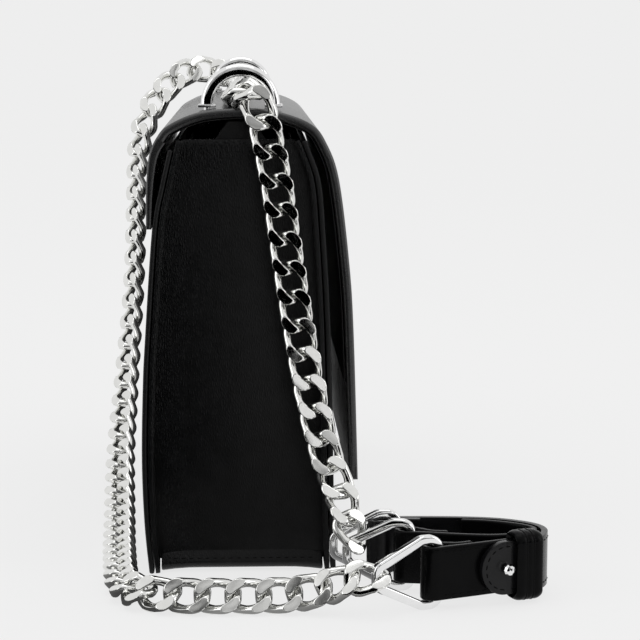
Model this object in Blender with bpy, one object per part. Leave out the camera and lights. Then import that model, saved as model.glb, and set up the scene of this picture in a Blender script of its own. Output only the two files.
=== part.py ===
import math

import bmesh
import bpy
from mathutils import Matrix, Vector

for item in list(bpy.data.objects):
    bpy.data.objects.remove(item, do_unlink=True)

# Frame: the base rests on Z = 0, the bag's length runs along Y, its back is at -X

# Driving sizes of the bag, in metres
BAG_LENGTH = 0.250
BAG_DEPTH = 0.073
BAG_HEIGHT = 0.181
TOUCH_GAP = 0.0003
CUT_OVERRUN = 0.002

# Leather and board thicknesses
PANEL_THICKNESS = 0.0020
GUSSET_THICKNESS = 0.0018
FLAP_THICKNESS = 0.0042
FLAP_LINING_THICKNESS = 0.0015
FLAP_SEWN_THICKNESS = 0.0020
LINING_THICKNESS = 0.0010
BOARD_THICKNESS = 0.0020
SEAM_GROOVE = 0.0005

# Gusset, base and tabs
GUSSET_RECESS = 0.0048
GUSSET_SWELL = 0.0022
BASE_FLANGE_HEIGHT = 0.0072
BASE_RISE = 0.0012
BASE_RISE_RUN = 0.022
BASE_CORNER_RADIUS = 0.0035
LINING_RIM_DROP = 0.021
TAB_WIDTH = 0.0200
TAB_TOP_WIDTH = 0.0100
TAB_HEIGHT = 0.0150
TAB_THICKNESS = 0.0016
FRONT_SWELL = 0.0015
# How far the flap stands off the front panel
FLAP_STAND = 0.0094

# Magnetic snap under the flap
SNAP_RADIUS = 0.0080
SNAP_SOCKET_THICKNESS = 0.0018
SNAP_HEIGHT = 0.070
SNAP_WELL_RADIUS = 0.0046
SNAP_WELL_DEPTH = 0.0009

# Arch hoops on the flap
HOOP_SETBACK = 0.0150
HOOP_HALF_SPAN = 0.01285
HOOP_RISE = 0.0142
HOOP_RADIAL = 0.0047
HOOP_DEPTH = 0.0070
HOOP_BEVEL = 0.0012
HOOP_FOOT_HEIGHT = 0.0012
HOOP_FOOT_FLANGE = 0.0011
SCREW_HEAD_RADIUS = 0.0032
SCREW_HEAD_HEIGHT = 0.0012
SCREW_RADIUS = 0.0012
SCREW_BITE = 0.0045

# Curb chain
CHAIN_WIRE = 0.0040
CHAIN_WIDTH = 0.0128
CHAIN_PITCH = 0.0112
CHAIN_THICKNESS = 0.0056
LINK_LIFT = 0.0022
LINK_SQUARENESS_SHARE = 0.8
LINK_CONTACT = 0.0004
RUN_GAP = 0.0008
HOOK_CLEARANCE = 0.0009

# Trapezoid rings of the strap
RING_WIRE = 0.0034
RING_BEVEL = 0.0008
RING_LENGTH = 0.0246
RING_HEIGHT = 0.0244
RING_APEX = 0.0070
RING_SHOULDER = 0.0070
RING_CORNER_RADIUS = 0.0040
RING_APEX_RADIUS = 0.0030

# Leather strap
STRAP_WIDTH = 0.0200
STRAP_THICKNESS = 0.0024
FOLD_CLEARANCE = 0.0005
FOLD_TAIL = 0.0160
KEEPER_LENGTH = 0.0085
KEEPER_WALL = 0.0024
KEEPER_SHIFT = 0.0022
STUD_HEAD_RADIUS = 0.0023
STUD_NECK_RADIUS = 0.0010
STUD_CAP_RADIUS = 0.0026
STUD_CAP_HEIGHT = 0.0006
STUD_SETBACK = 0.0011

# Counts
OUTLINE_STEPS = 2
PANEL_LEVELS = 7
SWELL_STEPS = 8
LINK_STEPS = 10
LINK_SIDES = 4
CORNER_STEPS = 3
HOOP_STEPS = 14
ROUND_SIDES = 20
FOLD_STEPS = 6
ROUTE_STEPS = 12
TIP_STEPS = 6

UP = Vector((0, 0, 1))

# Flap outline from its sewn back edge over the top to the front hem,
# as shares of the bag's depth and height and of the flap's stand-off
FLAP_SHARES = (
    (-0.496, 0.746, 0.0), (-0.493, 0.829, 0.0), (-0.477, 0.898, 0.0), (-0.437, 0.938, 0.0),
    (-0.370, 0.966, 0.0), (-0.201, 0.993, 0.0), (0.045, 1.0, 0.0), (0.190, 0.991, 0.18),
    (0.298, 0.966, 0.56), (0.345, 0.927, 0.79), (0.416, 0.849, 0.76), (0.452, 0.673, 0.90),
    (0.470, 0.519, 0.95), (0.487, 0.204, 1.0),
)
FOLD_ROW = 3
# Outer faces of the back and front panels, as shares of depth and height
BACK_SHARES = (
    (-0.499, 0.0), (-0.523, 0.11), (-0.533, 0.25), (-0.523, 0.41), (-0.508, 0.514),
    (-0.4645, 0.746), (-0.423, 0.835), (-0.377, 0.915),
)
FRONT_SHARES = (
    (0.499, 0.0), (0.489, 0.138), (0.470, 0.519), (0.438, 0.761), (0.416, 0.849),
    (0.370, 0.905), (0.340, 0.934),
)
GUSSET_TOP_SHARE = 0.934

# Colours, roughness and metal value of the finishes
LEATHER = ((0.014, 0.014, 0.016, 1.0), 0.42, 0.0)
EDGE_LEATHER = ((0.018, 0.018, 0.020, 1.0), 0.38, 0.0)
FABRIC = ((0.030, 0.030, 0.033, 1.0), 0.85, 0.0)
BOARD = ((0.20, 0.17, 0.13, 1.0), 0.90, 0.0)
STEEL = ((0.78, 0.79, 0.80, 1.0), 0.12, 1.0)


def smooth_line(points, steps):
    """Points of a Catmull-Rom curve through the given points."""
    line = []
    count = len(points)
    for index in range(count - 1):
        before = points[max(index - 1, 0)]
        start = points[index]
        end = points[index + 1]
        after = points[min(index + 2, count - 1)]
        for step in range(steps):
            t = step / steps
            line.append(
                0.5 * (2 * start + (end - before) * t
                       + (2 * before - 5 * start + 4 * end - after) * t ** 2
                       + (3 * start - before - 3 * end + after) * t ** 3)
            )
    line.append(points[-1].copy())
    return line


def share_points(shares):
    return [Vector((x * BAG_DEPTH, z * BAG_HEIGHT)) for x, z in shares]


def flap_points():
    return [Vector((x * BAG_DEPTH + out * FLAP_STAND, z * BAG_HEIGHT)) for x, z, out in FLAP_SHARES]


def line_normals(line):
    """Unit normals on the left of a plane line."""
    normals = []
    last = len(line) - 1
    for index in range(len(line)):
        along = line[min(index + 1, last)] - line[max(index - 1, 0)]
        normals.append(Vector((-along.y, along.x)).normalized())
    return normals


def offset_line(line, amounts):
    """The line moved to its right by one amount, or by one for each point."""
    if isinstance(amounts, float):
        amounts = [amounts] * len(line)
    return [p - n * a for p, n, a in zip(line, line_normals(line), amounts)]


def x_at(line, z):
    """X of a rising outline at height z."""
    for low, high in zip(line, line[1:]):
        if z <= high.y or high is line[-1]:
            return low.x + (high.x - low.x) * (z - low.y) / (high.y - low.y)
    return line[-1].x


def finish_object(name, bm, finish, smooth_angle=None):
    """Link the mesh under its name, with its own material."""
    bmesh.ops.recalc_face_normals(bm, faces=bm.faces)
    mesh = bpy.data.meshes.new(name)
    bm.to_mesh(mesh)
    bm.free()
    if smooth_angle is not None:
        mesh.shade_smooth()
        mesh.set_sharp_from_angle(angle=smooth_angle)
    part = bpy.data.objects.new(name, mesh)
    bpy.context.collection.objects.link(part)
    material = bpy.data.materials.new(name + "_finish")
    material.use_nodes = True
    shader = material.node_tree.nodes["Principled BSDF"]
    shader.inputs["Base Color"].default_value = finish[0]
    shader.inputs["Roughness"].default_value = finish[1]
    shader.inputs["Metallic"].default_value = finish[2]
    mesh.materials.append(material)
    return part


def extruded(bm, outline, start, travel):
    """A closed prism of an outline of 3D points."""
    verts = [bm.verts.new(point + start) for point in outline]
    face = bm.faces.new(verts)
    grown = bmesh.ops.extrude_face_region(bm, geom=[face])
    moved = [item for item in grown["geom"] if isinstance(item, bmesh.types.BMVert)]
    bmesh.ops.translate(bm, verts=moved, vec=travel)


def loft(bm, sections, closed=False):
    """Skin a row of equal rings of points, with end caps unless it closes on itself."""
    rings = [[bm.verts.new(point) for point in section] for section in sections]
    pairs = list(zip(rings, rings[1:]))
    if closed:
        pairs.append((rings[-1], rings[0]))
    for first, second in pairs:
        count = len(first)
        for index in range(count):
            after = (index + 1) % count
            bm.faces.new((first[index], first[after], second[after], second[index]))
    if not closed:
        bm.faces.new(rings[0])
        bm.faces.new(rings[-1])


def sheet(bm, rows):
    """An open grid of faces over rows of points."""
    grid = [[bm.verts.new(point) for point in row] for row in rows]
    for low, high in zip(grid, grid[1:]):
        for index in range(len(low) - 1):
            bm.faces.new((low[index], low[index + 1], high[index + 1], high[index]))


def add_thickness(part, thickness):
    """Grow a sheet inwards into a closed shell."""
    shell = part.modifiers.new("shell", "SOLIDIFY")
    shell.thickness = thickness
    shell.offset = -1
    shell.use_even_offset = True
    return shell


def cut_with(part, cutter):
    boolean = part.modifiers.new(cutter.name, "BOOLEAN")
    boolean.operation = "DIFFERENCE"
    boolean.object = cutter
    cutter.hide_render = True
    cutter.display_type = "WIRE"


# Route places are written in millimetres for a bag of these sizes and follow the bag
ROUTE_BAG_MM = (73, 250, 181)
route_scale = Vector((
    BAG_DEPTH / ROUTE_BAG_MM[0], BAG_LENGTH / ROUTE_BAG_MM[1], BAG_HEIGHT / ROUTE_BAG_MM[2],
))

# Outlines in the XZ plane
flap_line = smooth_line(flap_points(), OUTLINE_STEPS)
fold_index = FOLD_ROW * OUTLINE_STEPS
flap_top_line = flap_line[fold_index:]
back_line = smooth_line(share_points(BACK_SHARES), OUTLINE_STEPS)
front_line = smooth_line(share_points(FRONT_SHARES), OUTLINE_STEPS)
HALF_LENGTH = BAG_LENGTH / 2
fold_point = flap_top_line[0]


def flap_z(x):
    """Height of the flap's outer face above a place near its top."""
    for first, second in zip(flap_top_line, flap_top_line[1:]):
        if first.x <= x <= second.x:
            return first.y + (second.y - first.y) * (x - first.x) / (second.x - first.x)
    return BAG_HEIGHT


def xz(point, y=0.0):
    return Vector((point.x, y, point.y))


def add_strip(name, outer, inner, finish):
    """A strip with the given faces in the XZ plane, as long as the bag."""
    bm = bmesh.new()
    outline = [xz(p) for p in outer] + [xz(p) for p in reversed(inner)]
    extruded(bm, outline, Vector((0, -HALF_LENGTH, 0)), Vector((0, BAG_LENGTH, 0)))
    return finish_object(name, bm, finish, math.radians(35))


def front_swell(y, z):
    """How far the front panel stands out at its middle, highest near the top."""
    along = math.cos(math.pi * y / BAG_LENGTH)
    up = math.sin(math.pi * min(z / BAG_HEIGHT, 1.0) ** 2)
    return FRONT_SWELL * along * max(up, 0.0)


def add_back_panel():
    inner = offset_line(back_line, PANEL_THICKNESS)
    inner[0].y = 0
    add_strip("back_panel", back_line, inner, LEATHER)


def add_front_panel():
    bm = bmesh.new()
    rows = []
    for point in front_line:
        row = []
        for step in range(SWELL_STEPS + 1):
            y = HALF_LENGTH - BAG_LENGTH * step / SWELL_STEPS
            row.append(Vector((point.x + front_swell(y, point.y), y, point.y)))
        rows.append(row)
    inner_line = offset_line(front_line, -PANEL_THICKNESS)
    inner_line[0].y = 0
    for point in reversed(inner_line):
        row = []
        for step in range(SWELL_STEPS + 1):
            y = HALF_LENGTH - BAG_LENGTH * step / SWELL_STEPS
            row.append(Vector((point.x + front_swell(y, point.y), y, point.y)))
        rows.append(row)
    columns = [list(column) for column in zip(*rows)]
    loft(bm, columns)
    finish_object("front_panel", bm, LEATHER, math.radians(35))


def add_gusset(name, side):
    """A pan-shaped end wall: its two flanges turn out along the panels' edges."""
    bm = bmesh.new()
    edge_y = HALF_LENGTH
    face_y = HALF_LENGTH - GUSSET_RECESS - GUSSET_THICKNESS
    top = GUSSET_TOP_SHARE * BAG_HEIGHT
    seam_top = BASE_RISE + BASE_FLANGE_HEIGHT + TOUCH_GAP
    face_bottom = seam_top - BASE_FLANGE_HEIGHT / 2
    rows = []
    for level in range(-1, PANEL_LEVELS + 1):
        z = TOUCH_GAP if level < 0 else seam_top + (top - seam_top) * level / PANEL_LEVELS
        left = x_at(back_line, z) + PANEL_THICKNESS + SEAM_GROOVE
        right = x_at(front_line, z) - PANEL_THICKNESS - SEAM_GROOVE
        swell = GUSSET_SWELL * math.sin(math.pi * max(level, 0) / PANEL_LEVELS)
        row = [Vector((left, side * edge_y, z))]
        for step in range(SWELL_STEPS + 1):
            share = step / SWELL_STEPS
            y = face_y + swell * math.sin(math.pi * share) ** 2
            face_z = max(z, face_bottom)
            row.append(Vector((left + (right - left) * share, side * y, face_z)))
        row.append(Vector((right, side * edge_y, z)))
        rows.append(row)
    sheet(bm, rows)
    part = finish_object(name, bm, LEATHER, math.radians(35))
    facing = sum(face.normal.y * face.area for face in part.data.polygons) * side
    shell = add_thickness(part, GUSSET_THICKNESS)
    shell.offset = 1 if facing > 0 else -1


def add_base():
    """Floor of the bag: its two ends rise and turn up into the sewn flanges."""
    run = HALF_LENGTH - GUSSET_RECESS + PANEL_THICKNESS + TOUCH_GAP
    corner = BASE_CORNER_RADIUS
    rise_start = run - BASE_RISE_RUN
    half = [Vector((rise_start, 0))]
    for step in range(CORNER_STEPS + 1):
        angle = math.pi / 2 * step / CORNER_STEPS
        half.append(Vector((
            run - corner + corner * math.sin(angle),
            BASE_RISE + corner - corner * math.cos(angle),
        )))
    half.append(Vector((run, BASE_RISE + BASE_FLANGE_HEIGHT)))
    line = [Vector((-p.x, p.y)) for p in reversed(half)] + half
    inner = offset_line(line, -PANEL_THICKNESS)
    inner[0].y = line[0].y
    inner[-1].y = line[-1].y
    reach = BAG_DEPTH * BACK_SHARES[0][0] + PANEL_THICKNESS + SEAM_GROOVE + GUSSET_THICKNESS
    left = reach + TOUCH_GAP
    right = BAG_DEPTH * FRONT_SHARES[0][0] - PANEL_THICKNESS - SEAM_GROOVE - GUSSET_THICKNESS
    right = min(right, x_at(front_line, BASE_RISE + BASE_FLANGE_HEIGHT) - PANEL_THICKNESS
                - SEAM_GROOVE - GUSSET_THICKNESS) - 2 * TOUCH_GAP
    bm = bmesh.new()
    outline = [Vector((0, p.x, p.y)) for p in line + inner[::-1]]
    extruded(bm, outline, Vector((left, 0, 0)), Vector((right - left, 0, 0)))
    finish_object("base_panel", bm, LEATHER, math.radians(35))

    bm = bmesh.new()
    board_bottom = PANEL_THICKNESS + TOUCH_GAP
    half_run = rise_start - TOUCH_GAP
    outline = [
        Vector((left, -half_run, 0)), Vector((right, -half_run, 0)),
        Vector((right, half_run, 0)), Vector((left, half_run, 0)),
    ]
    extruded(bm, outline, UP * board_bottom, UP * BOARD_THICKNESS)
    finish_object("base_board", bm, BOARD)
    return left, right


def add_lining(left, right):
    """Thin cup of lining inside the panels, open at the top."""
    bm = bmesh.new()
    top = BAG_HEIGHT - LINING_RIM_DROP
    bottom = PANEL_THICKNESS + BOARD_THICKNESS + 2 * TOUCH_GAP
    end_y = HALF_LENGTH - GUSSET_RECESS - GUSSET_THICKNESS - TOUCH_GAP
    levels = [bottom] + [
        bottom + BASE_RISE + PANEL_THICKNESS
        + (top - bottom - BASE_RISE - PANEL_THICKNESS) * level / PANEL_LEVELS
        for level in range(PANEL_LEVELS + 1)
    ]
    loops = []
    for index, z in enumerate(levels):
        x_low = x_at(back_line, z) + PANEL_THICKNESS + SEAM_GROOVE + TOUCH_GAP
        x_high = x_at(front_line, z) - PANEL_THICKNESS - SEAM_GROOVE - TOUCH_GAP
        run = end_y
        inset = GUSSET_THICKNESS
        if index == 0:
            run = HALF_LENGTH - GUSSET_RECESS - BASE_RISE_RUN
            x_low = left
            x_high = right
            inset = 0
        corners = (
            (x_low + inset, -run), (x_high - inset, -run), (x_high - inset, run), (x_low + inset, run),
        )
        loops.append([bm.verts.new((x, y, z)) for x, y in corners])
    bm.faces.new(loops[0])
    for low, high in zip(loops, loops[1:]):
        for index in range(len(low)):
            after = (index + 1) % len(low)
            bm.faces.new((low[index], low[after], high[after], high[index]))
    part = finish_object("lining", bm, FABRIC)
    add_thickness(part, LINING_THICKNESS)


def add_tab(name, side):
    """Small trapezoid tab sewn behind the gusset's top edge."""
    top = flap_z(0) - FLAP_THICKNESS - TOUCH_GAP * 2
    low = top - TAB_HEIGHT
    place = side * (HALF_LENGTH - GUSSET_RECESS - GUSSET_THICKNESS - TOUCH_GAP)
    outline = [
        Vector((-TAB_WIDTH / 2, place, low)), Vector((TAB_WIDTH / 2, place, low)),
        Vector((TAB_WIDTH / 2, place, (low + top) / 2)), Vector((TAB_TOP_WIDTH / 2, place, top)),
        Vector((-TAB_TOP_WIDTH / 2, place, top)), Vector((-TAB_WIDTH / 2, place, (low + top) / 2)),
    ]
    bm = bmesh.new()
    extruded(bm, outline, Vector(), Vector((0, -side * TAB_THICKNESS, 0)))
    finish_object(name, bm, LEATHER)


def flap_offset(amount):
    """The flap's outer line moved inwards, the sewn back edge skived thinner."""
    count = len(flap_line)
    amounts = []
    for index in range(count):
        skived = max(1 - index / fold_index, 0.0)
        amounts.append(amount - skived * (FLAP_THICKNESS - FLAP_SEWN_THICKNESS))
    return offset_line(flap_line, amounts)


def add_flap_back():
    """Back of the flap, sewn on the back panel and skived towards its edge."""
    inner = flap_offset(FLAP_THICKNESS)
    end = fold_index + 1
    add_strip("flap_back", flap_line[:end], inner[:end], LEATHER)


def flap_layers():
    """Plane lines of the flap's outer face, the joint between its layers, and its inner face."""
    leather = FLAP_THICKNESS - FLAP_LINING_THICKNESS
    shift = (flap_line[fold_index + 1] - flap_line[fold_index - 1]).normalized() * TOUCH_GAP
    lines = []
    for amount in (0.0, leather - TOUCH_GAP, leather, FLAP_THICKNESS):
        line = [point.copy() for point in flap_offset(amount)[fold_index:]]
        if amount == 0.0:
            line = [point.copy() for point in flap_line[fold_index:]]
        line[0] += shift
        lines.append(line)
    return lines


def hoop_places():
    return [(name, sign * (HALF_LENGTH - HOOP_SETBACK)) for name, sign in (("near", -1), ("far", 1))]


def add_screw_holes(parts):
    """One cutter with the four screw holes, used by both layers of the flap."""
    bm = bmesh.new()
    reach = FLAP_THICKNESS + 2 * CUT_OVERRUN
    for _, y in hoop_places():
        for side in (-1, 1):
            x = side * HOOP_HALF_SPAN
            centre = Matrix.Translation((x, y, flap_z(x) - FLAP_THICKNESS / 2))
            bmesh.ops.create_cone(
                bm, cap_ends=True, segments=ROUND_SIDES // 2, depth=reach, matrix=centre,
                radius1=SCREW_RADIUS + TOUCH_GAP, radius2=SCREW_RADIUS + TOUCH_GAP,
            )
    cutter = finish_object("screw_hole_cutter", bm, STEEL)
    for part in parts:
        cut_with(part, cutter)


def add_flap():
    outer, middle, joint, inner = flap_layers()
    flap = add_strip("flap", outer, middle, LEATHER)
    lining = add_strip("flap_lining", joint, inner, EDGE_LEATHER)
    add_screw_holes((flap, lining))
    return inner


def arch_section(angle, half_span, rise, base_z, y):
    """Bevelled section of the hoop at one angle of its arch."""
    centre = Vector((half_span * math.cos(angle), y, base_z + rise * math.sin(angle)))
    outward = Vector((rise * math.cos(angle), 0, half_span * math.sin(angle))).normalized()
    along = Vector((0, 1, 0))
    half_r = HOOP_RADIAL / 2
    half_d = HOOP_DEPTH / 2
    bevel = HOOP_BEVEL
    corners = (
        (half_r, half_d - bevel), (half_r - bevel, half_d), (-half_r, half_d),
        (-half_r, -half_d), (half_r - bevel, -half_d), (half_r, -half_d + bevel),
    )
    return [centre + outward * r + along * d for r, d in corners]


def add_hoop(name, y):
    """Arch with a stepped foot at each end, bored from below for its screws."""
    reach = HOOP_RADIAL / 2 + HOOP_FOOT_FLANGE
    edges = [side * HOOP_HALF_SPAN + out * reach for side in (-1, 1) for out in (-1, 1)]
    foot_z = max(flap_z(x) for x in edges) + TOUCH_GAP
    base_z = foot_z + HOOP_FOOT_HEIGHT
    sections = [
        arch_section(math.pi * step / HOOP_STEPS, HOOP_HALF_SPAN, HOOP_RISE - HOOP_FOOT_HEIGHT,
                     base_z, y)
        for step in range(HOOP_STEPS + 1)
    ]
    bm = bmesh.new()
    loft(bm, sections)
    arch = finish_object(name, bm, STEEL, math.radians(40))
    bm = bmesh.new()
    flange_r = HOOP_RADIAL / 2 + HOOP_FOOT_FLANGE
    flange_d = HOOP_DEPTH / 2 + HOOP_FOOT_FLANGE
    for side in (-1, 1):
        x = side * HOOP_HALF_SPAN
        outline = [
            Vector((x - flange_r, y - flange_d, 0)), Vector((x + flange_r, y - flange_d, 0)),
            Vector((x + flange_r, y + flange_d, 0)), Vector((x - flange_r, y + flange_d, 0)),
        ]
        extruded(bm, outline, UP * foot_z, UP * (HOOP_FOOT_HEIGHT + TOUCH_GAP))
    feet = finish_object(name + "_feet", bm, STEEL)
    join = arch.modifiers.new("feet", "BOOLEAN")
    join.operation = "UNION"
    join.object = feet
    feet.hide_render = True
    feet.display_type = "WIRE"
    bm = bmesh.new()
    for side in (-1, 1):
        x = side * HOOP_HALF_SPAN
        depth = SCREW_BITE + TOUCH_GAP + CUT_OVERRUN
        centre = Matrix.Translation((x, y, foot_z - CUT_OVERRUN + depth / 2))
        bmesh.ops.create_cone(
            bm, cap_ends=True, segments=ROUND_SIDES // 2, depth=depth, matrix=centre,
            radius1=SCREW_RADIUS + TOUCH_GAP, radius2=SCREW_RADIUS + TOUCH_GAP,
        )
    cut_with(arch, finish_object(name + "_bores", bm, STEEL))
    return foot_z


def turned(bm, profile, matrix, sides):
    """Spin a profile of radius and height pairs about its axis."""
    sections = []
    for step in range(sides):
        angle = 2 * math.pi * step / sides
        sections.append([
            matrix @ Vector((radius * math.cos(angle), radius * math.sin(angle), height))
            for radius, height in profile
        ])
    rings = []
    for index, (radius, height) in enumerate(profile):
        if radius == 0:
            rings.append([bm.verts.new(matrix @ Vector((0, 0, height)))] * sides)
        else:
            rings.append([bm.verts.new(section[index]) for section in sections])
    for low, high in zip(rings, rings[1:]):
        for step in range(sides):
            after = (step + 1) % sides
            face = [low[step], low[after], high[after], high[step]]
            unique = list(dict.fromkeys(face))
            if len(unique) > 2:
                bm.faces.new(unique)


def add_screw(name, x, y, foot_z):
    """Screw from below through both layers of the flap into the hoop's leg."""
    lowest = min(flap_z(x - SCREW_HEAD_RADIUS), flap_z(x + SCREW_HEAD_RADIUS))
    under = lowest - FLAP_THICKNESS - 2 * TOUCH_GAP
    profile = (
        (0, under - SCREW_HEAD_HEIGHT), (SCREW_HEAD_RADIUS, under - SCREW_HEAD_HEIGHT),
        (SCREW_HEAD_RADIUS, under), (SCREW_RADIUS, under),
        (SCREW_RADIUS, foot_z + SCREW_BITE - TOUCH_GAP), (0, foot_z + SCREW_BITE - TOUCH_GAP),
    )
    bm = bmesh.new()
    turned(bm, profile, Matrix.Translation((x, y, 0)), ROUND_SIDES // 2)
    finish_object(name, bm, STEEL, math.radians(40))


def add_snap(inner_line):
    """Flat magnetic snap: the socket on the front panel, the stud on the flap."""
    z = SNAP_HEIGHT
    panel_x = x_at(front_line, z) + front_swell(0, z)
    slope = abs(x_at(front_line, z - SNAP_RADIUS) - x_at(front_line, z + SNAP_RADIUS)) / 2
    seat = panel_x + TOUCH_GAP + slope
    rising = sorted(inner_line, key=lambda p: p.y)
    outer_part = [p for p in rising if p.x > panel_x]
    reach = min(x_at(outer_part, z - SNAP_RADIUS), x_at(outer_part, z + SNAP_RADIUS)) - TOUCH_GAP
    turn = Matrix.Translation((seat, 0, z)) @ Matrix.Rotation(math.pi / 2, 4, "Y")
    well = SNAP_WELL_RADIUS
    face = SNAP_SOCKET_THICKNESS
    socket = (
        (0, 0), (SNAP_RADIUS, 0), (SNAP_RADIUS, face), (well, face),
        (well, face - SNAP_WELL_DEPTH), (0, face - SNAP_WELL_DEPTH),
    )
    bm = bmesh.new()
    turned(bm, socket, turn, ROUND_SIDES)
    finish_object("snap_socket", bm, STEEL, math.radians(40))
    near = face + TOUCH_GAP
    far = reach - seat
    boss = well - TOUCH_GAP
    boss_end = face - SNAP_WELL_DEPTH + TOUCH_GAP
    stud = (
        (0, boss_end), (boss, boss_end), (boss, near), (SNAP_RADIUS, near),
        (SNAP_RADIUS, far), (0, far),
    )
    bm = bmesh.new()
    turned(bm, stud, turn, ROUND_SIDES)
    finish_object("snap_stud", bm, STEEL, math.radians(40))


# Strap route and rings. Plan places are in millimetres, chosen by hand
BILLET_START_MM = (70.9, -178.0)
BILLET_ROUTE_MM = ((75, -176.2), (82.5, -173.3), (89.5, -170.4), (93.5, -168.7))
BILLET_STRAIGHT_MM = ((96.6, -167.4), (107.2, -163.3))
LONG_BEND_MM = (
    (111.6, -161.0), (113.5, -155.5), (113.4, -149.8), (111.2, -144.9), (106.4, -140.4),
    (98, -136.0), (86, -133.4), (72, -132.2), (62, -131.9),
)
LONG_END_MM = (57.4, -131.7)
RETURN_START_MM = (61.0, -154.3)
RETURN_ROUTE_MM = (
    (68, -155.4), (81.6, -158.6), (92, -160.2), (100, -159.4), (105.8, -157.2),
    (109.4, -153.6), (110.1, -149.8), (107.9, -146.3), (103.8, -143.0), (97, -139.4),
    (90, -137.2), (84, -136.2),
)
# How each ring is turned about its bar, in radians
RING_TURN = {"ring_a": 0.36, "ring_b": -0.20, "ring_c": 0.0}
# The strap's way round a ring's bar, as shares of the tail's length and of the fold's height
TAIL_SHARES = ((0.65, 0.0), (0.42, 0.45), (0.2, 0.96))

strap_z = RING_HEIGHT / 2 + RING_WIRE / 2
layer = STRAP_THICKNESS + TOUCH_GAP
fold_radius = RING_WIRE / 2 + FOLD_CLEARANCE + STRAP_THICKNESS / 2
bar_along = fold_radius - STRAP_THICKNESS / 2


def plan(places):
    return [Vector((x * route_scale.x, y * route_scale.y)) for x, y in places]


def fold_points(start, along, side):
    """A strap end turned back round a ring's bar: from the tail's end to the main band."""
    across = Vector((-along.y, along.x)) * side
    turn_end = 2 * fold_radius
    tail = [(FOLD_TAIL, layer)]
    for reach, height in TAIL_SHARES:
        tail.append((FOLD_TAIL * reach, layer + (turn_end - layer) * height))
    tail.append((0, turn_end))
    points = [start + along * u + across * v for u, v in tail]
    for step in range(1, FOLD_STEPS + 1):
        angle = math.pi * step / FOLD_STEPS
        u = -fold_radius * math.sin(angle)
        v = fold_radius + fold_radius * math.cos(angle)
        points.append(start + along * u + across * v)
    bar = start + along * bar_along + across * fold_radius
    return points, bar


def ribbon(name, line, finish, tip_length=0.0):
    """Strap standing on edge along a plan line, with a rounded tip at its start."""
    normals = line_normals(line)
    travelled = 0.0
    sections = []
    for index, (point, normal) in enumerate(zip(line, normals)):
        if index:
            travelled += (point - line[index - 1]).length
        half = STRAP_WIDTH / 2
        if travelled < tip_length:
            rest = tip_length - travelled
            half *= max(math.sqrt(1 - (rest / tip_length) ** 2), TOUCH_GAP / STRAP_WIDTH)
        side = normal * STRAP_THICKNESS / 2
        sections.append([
            Vector((point.x + side.x, point.y + side.y, strap_z - half)),
            Vector((point.x + side.x, point.y + side.y, strap_z + half)),
            Vector((point.x - side.x, point.y - side.y, strap_z + half)),
            Vector((point.x - side.x, point.y - side.y, strap_z - half)),
        ])
    bm = bmesh.new()
    loft(bm, sections)
    return finish_object(name, bm, finish, math.radians(35))


def rounded_outline(corners, radii, steps):
    """Points of a closed outline with an arc at each corner."""
    points = []
    count = len(corners)
    for index, (corner, radius) in enumerate(zip(corners, radii)):
        to_last = (corners[index - 1] - corner).normalized()
        to_next = (corners[(index + 1) % count] - corner).normalized()
        half = to_last.angle(to_next) / 2
        centre = corner + (to_last + to_next).normalized() * radius / math.sin(half)
        start = corner + to_last * radius / math.tan(half) - centre
        end = corner + to_next * radius / math.tan(half) - centre
        for step in range(steps + 1):
            share = step / steps
            spread = start.angle(end)
            weight = math.sin(spread)
            arm = start * math.sin((1 - share) * spread) + end * math.sin(share * spread)
            points.append(centre + arm / weight)
    return points


def ring_line():
    """Centre line of a ring in its own plane: the apex at 0, the strap's bar at full length."""
    half = RING_HEIGHT / 2
    apex = RING_APEX / 2
    shoulder = RING_LENGTH - RING_SHOULDER
    corners = [
        Vector((0, -apex)), Vector((0, apex)), Vector((shoulder, half)),
        Vector((RING_LENGTH, half)), Vector((RING_LENGTH, -half)), Vector((shoulder, -half)),
    ]
    small = RING_APEX_RADIUS
    large = RING_CORNER_RADIUS
    radii = (small, small, large, large, large, large)
    return rounded_outline(corners, radii, CORNER_STEPS)


def ring_frame(bar, direction):
    """Matrix of a ring that stands on its edge, its bar at the given plan place."""
    along = Vector((direction.x, direction.y, 0)).normalized()
    normal = UP.cross(along)
    place = Vector((bar.x, bar.y, strap_z))
    frame = Matrix((along, UP, normal)).transposed().to_4x4()
    return Matrix.Translation(place) @ frame @ Matrix.Translation((-RING_LENGTH, 0, 0))


def add_ring(name, bar, direction):
    """Square wire with bevelled edges, bent round the ring's outline."""
    line = ring_line()
    count = len(line)
    half = RING_WIRE / 2
    flat = half - RING_BEVEL
    corners = (
        (half, -flat), (half, flat), (flat, half), (-flat, half),
        (-half, flat), (-half, -flat), (-flat, -half), (flat, -half),
    )
    frame = ring_frame(bar, direction)
    sections = []
    for index, point in enumerate(line):
        along = (line[(index + 1) % count] - line[index - 1]).normalized()
        outward = Vector((-along.y, along.x))
        section = []
        for out, over in corners:
            place = point + outward * out
            section.append(frame @ Vector((place.x, place.y, over)))
        sections.append(section)
    bm = bmesh.new()
    loft(bm, sections, closed=True)
    ring = finish_object(name, bm, STEEL, math.radians(40))
    pivot = Vector((bar.x, bar.y, strap_z))
    ring.data.transform(Matrix.Translation(-pivot))
    ring.location = pivot
    return frame


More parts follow.
